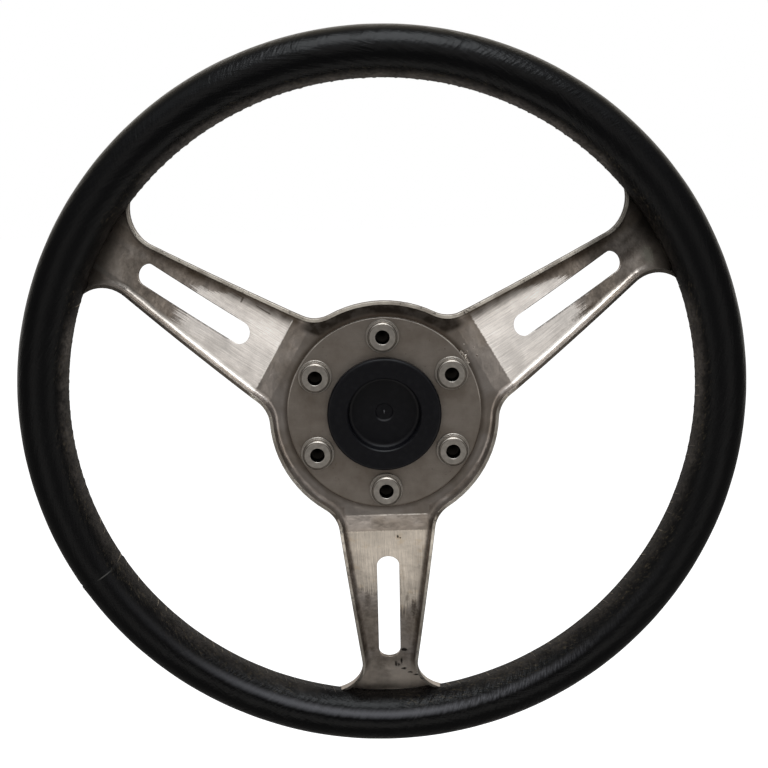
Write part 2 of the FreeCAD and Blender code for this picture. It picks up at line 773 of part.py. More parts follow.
def edge_thread(index):
    """One run of the closing thread along the inner edge of the grip, between two spokes."""
    inner_edge = f"({RIM_RADIUS} - Sizes.grip_diameter / 2)"
    label = f"edge_thread_{index + 1}"
    sweep = "360 / Sizes.spoke_count - 2 * Sizes.thread_end_gap"
    middle = f"{inner_edge} - Sizes.thread_diameter / 2 - Sizes.thread_gap"
    thread = torus(label, middle, "Sizes.thread_diameter / 2", sweep)
    start = 270 - SIZES["thread_end_gap"] - 360 / SIZES["spoke_count"] * index
    turn = Rotation(Vector(0, 1, 0), -start)
    thread.Placement = Placement(Vector(), turn.multiply(ROUND_THE_WHEEL))
    thread.setExpression("Placement.Base.y", "Sizes.dish_depth")
    document.recompute()
    return thread


def check(pieces):
    """Stop if an object of the document failed or a piece has no sound shape."""
    for item in document.Objects:
        if "Invalid" in item.State or "Error" in item.State:
            raise RuntimeError(f"{item.Name} failed")
    for piece in pieces:
        if piece.Shape.isNull() or not piece.Shape.isValid() or not piece.Shape.Solids:
            raise RuntimeError(f"{piece.Label} has no sound shape")


def main():
    """Build every piece and write it to its own file."""
    spider = spoke_spider()
    plate = hub_plate()
    core = rim_ring("rim_core", "Sizes.core_diameter / 2")
    passage = spoke_passage()
    spokes = range(SIZES["spoke_count"])
    rooms = [weld_room(index) for index in spokes]
    pieces = [spider, plate, core]
    pieces += [hub_bush(index) for index in range(SIZES["bush_count"])]
    pieces += [centre_cap(), plate_tack_weld(plate, spider)]
    pieces += [core_weld(index, core) for index in spokes]
    pieces += [rim_foam(passage, rooms), leather_cover(passage)]
    pieces += [edge_thread(index) for index in spokes]
    document.recompute()
    check(pieces)
    os.makedirs("parts", exist_ok=True)
    for piece in pieces:
        piece.Shape.exportStep(f"parts/{piece.Label}.step")


main()
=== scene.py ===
"""Looks of the boat steering wheel: brushed spider, turned bushes, black cap, stitched leather.

Metres, in the part's own frame: the wheel's axis is Y, its mounting side faces -Y and +Z is up.
Sizes inside the materials and meshes are millimetres, unless a comment says otherwise.
"""

import math
import random

import bpy
import numpy as np
from mathutils import Matrix, Vector


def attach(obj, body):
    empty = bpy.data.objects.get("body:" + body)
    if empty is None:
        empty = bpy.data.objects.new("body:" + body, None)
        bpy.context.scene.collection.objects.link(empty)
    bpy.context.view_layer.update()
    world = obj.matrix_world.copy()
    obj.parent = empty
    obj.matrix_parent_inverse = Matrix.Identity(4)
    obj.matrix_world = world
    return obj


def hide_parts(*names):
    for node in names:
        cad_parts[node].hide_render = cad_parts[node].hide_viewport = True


MM = 0.001

# Sizes shared with the solids, in millimetres and degrees

RIM_RADIUS = 167.3
RIM_DEPTH = 45
GRIP_RADIUS = 12.7
SPOKES = 3
SPOKE_TURN = 2 * math.pi / SPOKES
HUB_FLOOR = 6.6
FIRST_BEND = 50
SECOND_BEND = 58.6
BAND_DROP = 1.2
SPOKE_END = 155.4
SPOKE_DROP = 42.5
SPOKE_ARCH = 3
WALL_HEIGHT = 6.2
HUB_INSIDE = 52.4
SPOKE_ROOT = 30
SLOT_INNER = 77.1
SLOT_OUTER = 128.1
SLOT_WIDTH = 10.8
NECK = 134.1
ROOT_HALF_WIDTH = 24.2
NECK_HALF_WIDTH = 12.5
PLATE_RADIUS = 45.8
BOLT_RADIUS = 37
BUSHES = 6
BUSH_TURN = 2 * math.pi / BUSHES
CHAMFER_LINE = 6.5
BORE_RADIUS = 3.3
THREAD_PITCH = 1.25
SEAM_ANGLE = -59.1
SPOKE_GAP = 11
TIP_ANGLE = 8

# The leather's surface, in millimetres, and round the grip or the wheel in radians

LEATHER_SINK = 0.12
GROOVE_DEPTH = 0.26
GROOVE_WIDTH = 0.055
SHOULDER_PLACE = 0.17
SHOULDER_WIDTH = 0.10
SHOULDER_HEIGHT = 0.04
PUCKER_DEPTH = 0.12
LAP_HEIGHT = 0.32
LAP_FADE = 2.2
LAP_GROOVE_PLACE = -0.5
LAP_GROOVE_DEPTH = 0.30
LAP_GROOVE_WIDTH = 0.55
LAP_SLANT = 0.004
LAP_SLANT_START = 0.6
TUCK_HEIGHT = 0.70
TUCK_LENGTH = 0.020
TUCK_WIDTH = 0.45

# Where the looks of the spokes change, as distances from the wheel's axis

BRUSH_END = 103.0
BRUSH_GONE = 108.0
DUST_START = 128.0
DUST_FULL = 150.0
ENTRY_START = 139.0
ENTRY_FULL = 153.0

# Stitches of the seam

STITCH_PITCH = 5.0
STITCH_RADIUS = 0.26
STITCH_POINTS = 11
STITCH_SIDES = 7
INNER_RADIUS = RIM_RADIUS - GRIP_RADIUS
STITCH_COUNT = round((SPOKE_TURN - 2 * math.radians(SPOKE_GAP)) * INNER_RADIUS / STITCH_PITCH)

# Studio, in metres

FLOOR_LEVEL = -0.36
FLOOR_HALF = 4.0
FLOOR_PAINT = (0.62, 0.62, 0.62)
FLOOR_GLOW = (0.72, 0.72, 0.72)
WORLD_LIGHT = 0.55
TENT_RADIUS = 2.6
TENT_DIP = -10  # degrees that the axis of the panels is turned up
TENT_OPENING = (16, 37)  # degrees off that axis, where the panels begin
TENT_PANELS = (46, 62)  # degrees off it, where they end
TENT_DIMMEST = 0.15
COOL_WHITE = (0.93, 0.97, 1.0)
WARM_WHITE = (1.0, 0.965, 0.92)

# Colours

BRUSHED_GREY_HIGHLIT = (0.87, 0.81, 0.757)
BRUSHED_TAN = (0.69, 0.61, 0.52)
BRUSHED_GOLD = (0.55, 0.42, 0.27)
PLAIN_GREY = (0.36, 0.322, 0.295)
PLAIN_BROWN = (0.315, 0.272, 0.235)
PLATE_GREY = (0.40, 0.363, 0.328)
BUSH_GREY = (0.40, 0.37, 0.335)
DUSTY_GREY = (0.60, 0.52, 0.44)
DULL_GREEN = (0.40, 0.39, 0.33)
EDGE_DARK = (0.38, 0.345, 0.30)
EDGE_LIGHT = (0.58, 0.54, 0.475)
FILLET_HIGHLIGHT = (0.66, 0.62, 0.575)
BEND_LIGHT = (0.90, 0.86, 0.80)
PLATE_EDGE_HIGHLIGHT = (0.74, 0.69, 0.63)
LOWER_WALL_SHADE = (0.23, 0.205, 0.18)
FILLET_SHADE = (0.20, 0.18, 0.16)
LEATHER_SHADOW = (0.10, 0.082, 0.066)
OUTLINE_SHADE = (0.085, 0.070, 0.056)
BUSH_SHADOW_BROWN = (0.085, 0.066, 0.050)
GRIME_AND_SHADE = (0.075, 0.056, 0.040)
LOWER_EDGE_SHADE = (0.060, 0.050, 0.042)
BURR_BROWN = (0.045, 0.034, 0.026)
HUB_TOP_SHADE = (0.022, 0.016, 0.011)
PIT_BLACK = (0.02, 0.016, 0.012)
BURN_BLACK = (0.010, 0.008, 0.007)
BORE_SHADE = (0.006, 0.005, 0.004)
CAP_BLACK = (0.0020, 0.0020, 0.0032)
CAP_DUST = (0.0060, 0.0060, 0.0075)
CAP_HIGHLIGHT = (0.11, 0.11, 0.115)
LEATHER_BLACK = (0.0014, 0.0014, 0.0017)
LEATHER_WORN = (0.062, 0.053, 0.046)
LEATHER_FLECK = (0.050, 0.040, 0.026)
LEATHER_SHEEN = (0.108, 0.108, 0.117)
LEATHER_LAP_HIGHLIGHT = (0.070, 0.066, 0.062)
LEATHER_BROWN_AND_SHEEN = (0.019, 0.016, 0.011)
THREAD_DARK = (0.050, 0.041, 0.032)
THREAD_TAN = (0.21, 0.17, 0.12)
WELD_DARK = (0.22, 0.19, 0.165)
WELD_LIGHT = (0.62, 0.57, 0.51)
CORE_DARK = (0.20, 0.19, 0.18)
CORE_LIGHT = (0.32, 0.30, 0.28)
FOAM_DARK = (0.020, 0.020, 0.020)
FOAM_LIGHT = (0.05, 0.05, 0.05)

# Marks on the spokes: spoke (0 down, 1 upper right, -1 upper left), place along it, place across
# it, half its length, half its width, share of it that is full, strength, colour

MARKS = (
    (0, 129.4, 7.3, 1.3, 1.9, 0.5, 0.95, BURN_BLACK),
    (0, 136.8, 5.8, 3.2, 0.8, 0.2, 0.95, BURN_BLACK),
    (0, 138.6, 3.0, 2.6, 1.0, 0.2, 0.95, BURN_BLACK),
    (0, 139.4, 4.4, 1.6, 1.4, 0.1, 0.95, BURN_BLACK),
    (0, 141.9, 7.1, 1.0, 1.6, 0.5, 0.95, BURN_BLACK),
    (0, 144.6, 10.4, 0.8, 1.6, 0.5, 0.95, BURN_BLACK),
    (0, 146.4, 14.4, 0.8, 3.4, 0.5, 0.95, BURN_BLACK),
    (0, 61.8, 4.9, 1.1, 0.6, 0.5, 0.95, BURN_BLACK),
    (0, 62.6, 6.1, 0.5, 0.5, 0.5, 0.95, BURN_BLACK),
    (0, 98.0, -10.4, 7.0, 2.2, 0.1, 0.55, GRIME_AND_SHADE),
    (0, 103.0, 12.4, 9.0, 2.4, 0.1, 0.75, GRIME_AND_SHADE),
    (0, 97.5, 9.0, 4.0, 1.4, 0.1, 0.5, GRIME_AND_SHADE),
    (0, 128.5, -9.0, 3.0, 2.6, 0.1, 0.55, GRIME_AND_SHADE),
    (1, 138.0, -2.0, 12.0, 4.0, 0.1, 0.6, GRIME_AND_SHADE),
    (1, 141.0, 4.5, 7.0, 2.4, 0.1, 0.5, GRIME_AND_SHADE),
    (1, 146.0, -9.0, 8.0, 3.0, 0.1, 0.45, GRIME_AND_SHADE),
    (1, 107.0, -12.0, 13.0, 2.2, 0.1, 0.8, GRIME_AND_SHADE),
    (-1, 107.0, 11.0, 6.0, 1.8, 0.1, 0.45, GRIME_AND_SHADE),
    (-1, 83.7, -14.0, 0.6, 2.4, 0.5, 0.75, GRIME_AND_SHADE),
    (-1, 72.5, -15.2, 5.5, 0.5, 0.5, 0.8, GRIME_AND_SHADE),
    (1, 146.5, -8.0, 4.0, 6.5, 0.2, 0.6, DULL_GREEN),
)

# Beads of weld spatter: distance from the axis, angle from +X in degrees, depth, radius

BEADS = (
    (46.4, 36.5, 4.9, 0.75),
    (46.9, 34.2, 5.2, 0.85),
    (46.3, 33.0, 5.0, 0.55),
    (48.6, 35.4, 6.4, 0.45),
    (51.5, 30.5, 6.75, 0.5),
    (49.6, 39.6, 6.5, 0.35),
    (52.4, 34.8, 6.95, 0.30),
    (44.8, 31.2, 4.6, 0.40),
)

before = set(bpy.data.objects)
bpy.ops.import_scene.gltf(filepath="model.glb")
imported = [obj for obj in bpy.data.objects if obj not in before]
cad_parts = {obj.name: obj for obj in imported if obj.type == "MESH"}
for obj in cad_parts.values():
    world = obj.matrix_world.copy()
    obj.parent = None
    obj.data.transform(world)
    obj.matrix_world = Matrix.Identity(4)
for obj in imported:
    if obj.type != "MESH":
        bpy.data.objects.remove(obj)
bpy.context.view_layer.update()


# Node trees


class Graph:
    """A node tree under construction, with short calls for the nodes it needs."""

    def __init__(self, tree):
        self.tree = tree

    def node(self, kind, **settings):
        """A new node with some of its settings."""
        node = self.tree.nodes.new("ShaderNode" + kind)
        for name, value in settings.items():
            setattr(node, name, value)
        return node

    def put(self, socket, value):
        """Link a socket to another, or set its value; a colour is three numbers."""
        if isinstance(value, bpy.types.NodeSocket):
            self.tree.links.new(value, socket)
        else:
            socket.default_value = (*value, 1) if socket.type == "RGBA" else value

    def fill(self, node, names, values):
        """Set or link some inputs of a node."""
        for name, value in zip(names, values):
            self.put(node.inputs[name], value)

    def math(self, operation, *values, clamp=False):
        node = self.node("Math", operation=operation, use_clamp=clamp)
        self.fill(node, range(len(values)), values)
        return node.outputs[0]

    def add(self, first, *others):
        for other in others:
            first = self.math("ADD", first, other)
        return first

    def subtract(self, first, second):
        return self.math("SUBTRACT", first, second)

    def multiply(self, first, *others):
        for other in others:
            first = self.math("MULTIPLY", first, other)
        return first

    def maximum(self, first, second, clamp=False):
        return self.math("MAXIMUM", first, second, clamp=clamp)

    def swing(self, noise, span):
        """Move a noise to swing about 0 by half a span each way."""
        return self.multiply(self.subtract(noise, 0.5), span)

    def hypotenuse(self, first, second):
        squares = self.add(self.multiply(first, first), self.multiply(second, second))
        return self.math("SQRT", squares)

    def vector_math(self, operation, first, second):
        """Vector math with a vector, or for SCALE with a number."""
        node = self.node("VectorMath", operation=operation)
        self.fill(node, (0, "Scale" if operation == "SCALE" else 1), (first, second))
        return node.outputs[0]

    def scale(self, vector, factor):
        return self.vector_math("SCALE", vector, factor)

    def split(self, vector):
        """The three numbers of a vector."""
        node = self.node("SeparateXYZ")
        self.put(node.inputs[0], vector)
        return node.outputs

    def join(self, x, y, z):
        """A vector from three numbers."""
        node = self.node("CombineXYZ")
        self.fill(node, range(3), (x, y, z))
        return node.outputs[0]

    def step(self, value, low, high, first=0.0, last=1.0, smooth=True):
        """Go from first to last while a value goes from low to high."""
        node = self.node("MapRange", interpolation_type="SMOOTHSTEP" if smooth else "LINEAR")
        names = ("Value", "From Min", "From Max", "To Min", "To Max")
        self.fill(node, names, (value, low, high, first, last))
        return node.outputs[0]

    def line(self, value, middle, outer, inner):
        """1 up to an inner distance from a middle value, 0 from an outer distance on."""
        return self.step(self.math("ABSOLUTE", self.subtract(value, middle)), outer, inner)

    def blend(self, share, first, second):
        """Mix two colours."""
        node = self.node("Mix", data_type="RGBA")
        self.fill(node, ("Factor", "A", "B"), (share, first, second))
        return node.outputs["Result"]

    def seen_directly(self):
        """1 for camera, glossy and transmission rays, else 0."""
        rays = self.node("LightPath").outputs
        total = rays["Is Camera Ray"]
        for name in ("Is Glossy Ray", "Is Transmission Ray"):
            total = self.math("ADD", total, rays[name], clamp=True)
        return total


def new_material(name):
    """A material without nodes, and its node tree under construction."""
    material = bpy.data.materials.new(name)
    material.use_nodes = True
    material.node_tree.nodes.clear()
    return material, Graph(material.node_tree)


class Surface(Graph):
    """A principled material, with places on the part in millimetres."""

    def __init__(self, name, **settings):
        self.material, graph = new_material(name)
        super().__init__(graph.tree)
        self.shader = self.node("BsdfPrincipled")
        output = self.node("OutputMaterial")
        self.put(output.inputs["Surface"], self.shader.outputs["BSDF"])
        for socket, value in settings.items():
            self.shader.inputs[socket.replace("_", " ")].default_value = value
        self.place = self.scale(self.node("TexCoord").outputs["Object"], 1 / MM)
        self.x, self.y, self.z = self.split(self.place)
        self.colour = None

    def paint(self, mask, strength, colour):
        """Blend a colour over the colour so far."""
        self.colour = self.blend(self.multiply(mask, strength), self.colour, colour)

    def finish(self, normal=None, **inputs):
        """Give the shader its colour, its normal and other inputs."""
        self.put(self.shader.inputs["Base Color"], self.colour)
        if normal is not None:
            self.put(self.shader.inputs["Normal"], normal)
        for name, value in inputs.items():
            self.put(self.shader.inputs[name], value)
        return self.material

    def noise(self, vector, scale, detail=3.0, roughness=0.5, distortion=0.0):
        node = self.node("TexNoise")
        names = ("Vector", "Scale", "Detail", "Roughness", "Distortion")
        self.fill(node, names, (vector, scale, detail, roughness, distortion))
        return node.outputs[0]

    def grain(self, first, second, third, detail=3.0, roughness=0.5, distortion=0.0):
        """Noise drawn out in one direction; first and second are places with their frequencies."""
        place = self.join(self.multiply(*first), self.multiply(*second), third)
        return self.noise(place, 1.0, detail, roughness, distortion)

    def rings(self, radius, frequency, roughness):
        """Noise that goes by a radius alone."""
        place = self.join(self.multiply(radius, frequency), 0.0, 0.0)
        return self.noise(place, 1.0, 3.0, roughness)

    def cells(self, vector, scale):
        node = self.node("TexVoronoi")
        self.fill(node, ("Vector", "Scale"), (vector, scale))
        return node.outputs["Distance"]

    def bump(self, height, depth, normal=None):
        """Bump from a height; depth is in millimetres for a height of 1."""
        node = self.node("Bump")
        self.fill(node, ("Distance", "Height"), (depth * MM, height))
        if normal is not None:
            self.put(node.inputs["Normal"], normal)
        return node.outputs[0]

    def soft_edges(self, radius):
        """Normals that round off sharp edges; the radius is in millimetres."""
        node = self.node("Bevel", samples=6)
        self.put(node.inputs["Radius"], radius * MM)
        return node.outputs[0]

    def radius(self):
        """Distance from the wheel's axis."""
        return self.hypotenuse(self.x, self.z)

    def angle(self):
        """Angle round the wheel's axis: 0 below it, growing to the right."""
        return self.math("ARCTAN2", self.x, self.multiply(self.z, -1))

    def polar(self, count):
        """Number of the nearest of some directions round the axis, place along it and across it.

        Direction 0 points down, and the numbers go up anticlockwise as seen from the mounting side.
        """
        turn = 2 * math.pi / count
        angle = self.angle()
        number = self.math("ROUND", self.math("DIVIDE", angle, turn))
        local = self.subtract(angle, self.multiply(number, turn))
        radius = self.radius()
        along = self.multiply(radius, self.math("COSINE", local))
        across = self.multiply(radius, self.math("SINE", local))
        return number, along, across

    def tube(self):
        """Angle round the wheel and angle round the grip, which is 0 on its near side."""
        out = self.subtract(self.radius(), RIM_RADIUS)
        near = self.subtract(RIM_DEPTH, self.y)
        return self.angle(), self.math("ARCTAN2", out, near)


# The spider's steel


class Sheet(Surface):
    """The spider's surface, with the places on the pressed sheet that its looks go by."""

    def __init__(self):
        super().__init__("spider_steel", Specular_IOR_Level=0.2)
        self.spoke, self.along, self.across = self.polar(SPOKES)
        self.lower_spoke = self.on(0)
        share = self.step(self.along, SECOND_BEND, SPOKE_END, smooth=False)
        arch = self.multiply(share, self.subtract(1.0, share), 4 * SPOKE_ARCH)
        band_end = HUB_FLOOR + BAND_DROP
        floor = self.add(
            self.step(self.along, FIRST_BEND, SECOND_BEND, HUB_FLOOR, band_end, smooth=False),
            self.subtract(self.multiply(share, SPOKE_DROP), arch),
        )
        # How far a point stands in front of the sheet's near face
        self.height = self.subtract(floor, self.y)
        half_width = self.step(
            self.along, SPOKE_ROOT, NECK, ROOT_HALF_WIDTH, NECK_HALF_WIDTH, smooth=False
        )
        side = self.math("ABSOLUTE", self.across)
        # How far it lies inside the wall's inner face
        self.wall_gap = self.maximum(
            self.subtract(HUB_INSIDE, self.radius()), self.subtract(half_width, side)
        )
        self.at_hub = self.step(self.along, FIRST_BEND, SECOND_BEND, 1.0, 0.0)
        turn = self.multiply(self.spoke, SPOKE_TURN)
        # How far it lies above the middle line of a side spoke
        self.side_up = self.multiply(self.across, self.math("SINE", turn))
        self.front = self.step(self.height, -1.5, -0.7)
        self.wander = self.noise(self.place, 0.09, 4.0)
        self.pit_noise = self.noise(self.place, 0.95, 2.0, 0.6)

    def on(self, number):
        """1 on one spoke and its third of the hub."""
        return self.math("COMPARE", self.spoke, float(number), 0.5)

    def fillet(self):
        """The inside corner between floor and wall."""
        return self.multiply(self.step(self.wall_gap, 3.6, 2.6), self.step(self.wall_gap, 0.2, 1.0))

    def slot_gap(self):
        """Distance from the middle line of a spoke's slot."""
        middle = (SLOT_INNER + SLOT_OUTER) / 2
        reach = (SLOT_OUTER - SLOT_INNER - SLOT_WIDTH) / 2
        off = self.math("ABSOLUTE", self.subtract(self.along, middle))
        return self.hypotenuse(self.maximum(self.subtract(off, reach), 0.0), self.across)

    def crease(self, number, out, strength):
        """The thin line of light where the sheet is bent across one spoke."""
        broken = self.step(self.noise(self.place, 0.22, 3.0, 0.6), 0.38, 0.56, 0.25, 1.0)
        inside = self.step(self.wall_gap, 2.2, 4.0)
        line = self.line(self.along, out, 0.42, 0.12)
        return self.multiply(line, inside, self.on(number), broken, strength)

    def spot(self, number, out, aside, half_length, half_width, core):
        """A mark on one spoke, ragged at its edge; the core is the part of it that is full."""
        far = self.math("DIVIDE", self.subtract(self.along, out), half_length)
        beside = self.math("DIVIDE", self.subtract(self.across, aside), half_width)
        gap = self.add(self.hypotenuse(far, beside), self.swing(self.pit_noise, 1.2))
        return self.multiply(self.step(gap, 1.0, core), self.on(number), self.front)


def brushing(n):
    """Where the spokes are at all, where they are brushed, the coarse streaks and the fine ones."""
    seed = n.multiply(n.spoke, 37.0)
    ragged = n.grain((n.along, 0.10), (n.across, 0.9), seed)
    start = n.add(n.along, n.swing(ragged, 1.6))
    on_spoke = n.step(start, SECOND_BEND - 0.4, SECOND_BEND + 0.3)
    bend = n.multiply(n.noise(n.place, 0.03, 1.0), 3.0)
    streak = n.grain((n.along, 0.03), (n.add(n.across, bend), 1.5), seed, 5.0, 0.65)
    fine = n.grain((n.along, 0.22), (n.across, 3.8), seed, 3.0, 0.65)
    comb = n.grain((n.along, 0.05), (n.across, 2.0), seed, 3.0, 0.7)
    upper_arm = n.multiply(n.step(n.side_up, 1.0, 6.0), n.step(n.wall_gap, 9.0, 1.0))
    reach = n.add(
        n.along,
        n.swing(comb, 26.0),
        n.swing(n.wander, 22.0),
        n.multiply(upper_arm, 24.0),
        n.multiply(n.lower_spoke, n.step(n.across, -1.0, 1.0, 15.0, 4.0)),
    )
    worn_off = n.multiply(n.step(reach, BRUSH_END, BRUSH_GONE), on_spoke)
    brushed = n.multiply(n.subtract(on_spoke, worn_off), n.step(n.wall_gap, 1.2, 3.2))
    return on_spoke, brushed, streak, fine


def paint_metal(n, on_spoke, brushed, streak, fine):
    """Bare metal: brushed spokes, plain hub and spoke ends, tarnish, a touch of gold, and painted
    light on the brushed spokes.
    """
    cloud = n.noise(n.place, 0.045, 3.0, 0.55)
    # The side spokes' brushed grey is lighter than the lower spoke's tan: painted highlight for the
    # lamp their brushing catches; the tan hue is the lower spoke's own.
    brush_colour = n.blend(n.lower_spoke, BRUSHED_GREY_HIGHLIT, BRUSHED_TAN)
    plain_colour = n.blend(n.step(cloud, 0.40, 0.60), PLAIN_BROWN, PLAIN_GREY)
    tone = n.step(streak, 0.28, 0.72, 0.76, 1.20, smooth=False)
    tone = n.add(1.0, n.multiply(n.subtract(tone, 1.0), n.add(0.20, n.multiply(brushed, 0.80))))
    tone = n.add(tone, n.multiply(n.subtract(fine, 0.5), brushed, 0.85))
    plain_end = n.subtract(on_spoke, brushed)
    tarnish = n.step(n.noise(n.place, 0.42, 4.0, 0.65), 0.36, 0.64, -0.16, 0.14)
    blotch = n.add(n.step(n.wander, 0.32, 0.70, 0.84, 1.08), n.multiply(tarnish, plain_end))
    # Painted light: brushed side spokes lighter on their upper halves and darker on their lower
    # ones; the lower spoke's unbrushed end is made lighter too.
    painted_light_halves = n.multiply(brushed, n.step(n.side_up, -10.0, 10.0, -0.12, 0.14))
    painted_light_halves = n.add(1.0, painted_light_halves, n.multiply(n.lower_spoke, plain_end, 0.20))
    n.colour = n.blend(brushed, plain_colour, brush_colour)
    n.colour = n.scale(n.colour, n.multiply(tone, blotch, painted_light_halves))
    gold = n.multiply(n.step(n.noise(n.place, 0.13, 3.0, 0.6), 0.56, 0.70), n.lower_spoke, brushed)
    n.paint(gold, 0.45, BRUSHED_GOLD)


def paint_shade(n):
    """Painted shade in the lower spoke's inside corners, patchy, and below the upper walls, darkest
    on the hub's upper part, and a painted shadow round the plate; returns where the shade is.
    """
    upper = n.maximum(n.step(n.side_up, 1.0, 9.0), n.multiply(n.at_hub, n.step(n.z, 8.0, 40.0)))
    mottle = n.step(n.noise(n.place, 0.16, 4.0), 0.34, 0.70, 0.35, 1.0)
    # Patchy painted shade in the lower spoke's inside corners
    corner = n.multiply(n.step(n.wall_gap, 2.9, 1.5), n.step(n.height, 5.2, 3.6), n.lower_spoke)
    # Painted shade below the upper walls, across the hub's upper floor too
    shade = n.maximum(
        n.multiply(n.step(n.wall_gap, 7.0, 2.4), upper, n.subtract(1.0, n.at_hub)),
        n.multiply(n.step(n.wall_gap, 7.6, 4.0), upper, n.at_hub, 1.2),
    )
    shade = n.multiply(shade, n.add(0.60, n.multiply(mottle, 0.35)), n.front)
    painted_shade = n.maximum(n.multiply(corner, 0.8, mottle), shade, clamp=True)
    low_enough = n.multiply(n.step(n.height, 5.6, 4.2), n.step(n.wall_gap, -1.7, -0.7))
    # A darker painted shade on the hub's upper part
    hub_shade = n.multiply(n.at_hub, n.step(n.z, 20.0, 44.0))
    n.paint(painted_shade, low_enough, n.blend(hub_shade, GRIME_AND_SHADE, HUB_TOP_SHADE))
    # Painted shadow on the floor in a ring round the plate
    plate_shadow = n.step(n.radius(), PLATE_RADIUS + 2.8, PLATE_RADIUS + 0.4)
    plate_shadow = n.multiply(plate_shadow, n.at_hub, n.front)
    n.paint(plate_shadow, n.step(n.z, 60.0, -40.0, 0.75, 0.55), GRIME_AND_SHADE)
    return painted_shade, low_enough


def paint_spoke_ends(n):
    """Dusty spoke ends, and a painted shadow where the side ones enter the leather; returns the
    dusty part.
    """
    patchy = n.step(n.wander, 0.30, 0.60, 0.5, 1.0)
    foot = n.multiply(n.step(n.along, DUST_START, DUST_FULL), patchy)
    foot = n.multiply(foot, n.step(n.lower_spoke, 0.0, 1.0, 0.45, 1.0))
    n.paint(foot, 0.8, DUSTY_GREY)
    side_spokes = n.subtract(1.0, n.lower_spoke)
    entry = n.multiply(n.step(n.radius(), ENTRY_START, ENTRY_FULL), side_spokes, n.front)
    n.paint(entry, 0.8, LEATHER_SHADOW)
    return foot


def paint_edges(n):
    """Worn cut edge and slots, painted shade on the lower walls and edges, painted highlights in
    the lower fillets and along the bends; returns the painted fillet highlight and the edge's pits.
    """
    edge = n.step(n.height, WALL_HEIGHT - 0.9, WALL_HEIGHT - 0.5)
    n.paint(edge, 0.85, n.blend(n.step(n.wander, 0.40, 0.58), EDGE_DARK, EDGE_LIGHT))
    # Painted highlight in the inside corner of the side spokes' lower walls, strongest near the hub
    lower_side = n.multiply(
        n.step(n.side_up, -1.0, -8.0), n.step(n.along, SECOND_BEND - 2.0, SECOND_BEND + 3.0)
    )
    fillet = n.fillet()
    fillet_highlight = n.multiply(lower_side, fillet, n.step(n.along, 136.0, 96.0))
    n.paint(fillet_highlight, 0.7, FILLET_HIGHLIGHT)
    # Painted shade over that highlight on the left spoke, growing outward
    fading = n.multiply(n.on(-1), n.step(n.along, 92.0, 124.0), 0.75)
    n.paint(n.multiply(lower_side, fillet), fading, FILLET_SHADE)
    # Painted shade on the inner faces of the side spokes' lower walls
    wall = n.multiply(n.step(n.wall_gap, 0.9, 0.1), n.step(n.height, 1.6, 3.0))
    n.paint(n.multiply(lower_side, wall, n.front), 0.75, LOWER_WALL_SHADE)
    # Painted shade along the top of the side spokes' lower walls
    lower_edge = n.step(n.height, WALL_HEIGHT - 1.3, WALL_HEIGHT - 0.7)
    n.paint(n.multiply(lower_side, lower_edge, n.front), 0.9, LOWER_EDGE_SHADE)
    # Painted shade on the outer side of the cut edge in the lower half
    outline = n.multiply(edge, n.step(n.wall_gap, -1.1, -1.7), n.step(n.z, 15.0, -15.0), n.front)
    n.paint(outline, 0.75, OUTLINE_SHADE)
    pit_zone = n.step(n.noise(n.place, 0.05, 1.0), 0.48, 0.60)
    pits = n.multiply(edge, n.step(n.pit_noise, 0.60, 0.66), pit_zone, 0.7)
    n.paint(pits, 1.0, PIT_BLACK)

    burr = n.step(n.slot_gap(), SLOT_WIDTH / 2 + 0.55, SLOT_WIDTH / 2 + 0.15)
    burr = n.multiply(burr, n.step(n.pit_noise, 0.34, 0.50, 0.55, 1.0))
    n.paint(n.multiply(burr, n.step(n.lower_spoke, 0.0, 1.0, 1.0, 0.5)), 0.75, BURR_BROWN)
    bends = n.maximum(n.crease(0, FIRST_BEND + 0.3, 0.75), n.crease(-1, SECOND_BEND, 0.95))
    n.paint(bends, 1.0, BEND_LIGHT)
    return fillet_highlight, pits


def spider_steel():
    """Pressed sheet: satin hub, spokes brushed lengthwise, worn edge, stains and burn specks, with
    painted light and shade.
    """
    n = Sheet()
    on_spoke, brushed, streak, fine = brushing(n)
    paint_metal(n, on_spoke, brushed, streak, fine)
    painted_shade, low_enough = paint_shade(n)
    foot = paint_spoke_ends(n)
    fillet_highlight, pits = paint_edges(n)
    for number, out, aside, half_length, half_width, core, strength, colour in MARKS:
        n.paint(n.spot(number, out, aside, half_length, half_width, core), strength, colour)
    # Darker on the right spoke from about 112 mm out, above its middle line
    darker_patch = n.multiply(n.on(1), n.step(n.along, 112.0, 126.0), n.step(n.side_up, -6.0, 1.0))
    n.colour = n.scale(n.colour, n.subtract(1.0, n.multiply(darker_patch, 0.58)))

    hub_shade = n.multiply(painted_shade, low_enough, n.at_hub)
    unpolished = n.add(n.multiply(brushed, 0.40), n.multiply(foot, 0.50), n.multiply(hub_shade, 0.50))
    rough = n.add(
        0.30,
        n.multiply(brushed, 0.12),
        n.multiply(painted_shade, 0.25),
        n.multiply(foot, 0.12),
        n.multiply(fillet_highlight, 0.14),
        n.swing(fine, 0.10),
    )
    lines = n.add(n.multiply(fine, 0.6), n.multiply(streak, 0.4))
    relief = n.add(
        n.multiply(lines, n.add(0.015, n.multiply(brushed, 0.07))),
        n.multiply(n.wander, 0.7),
        n.multiply(pits, -0.25),
    )
    normal = n.bump(relief, 1.0, n.soft_edges(0.45))
    return n.finish(normal, Metallic=n.subtract(0.88, unpolished), Roughness=rough)


# The other materials


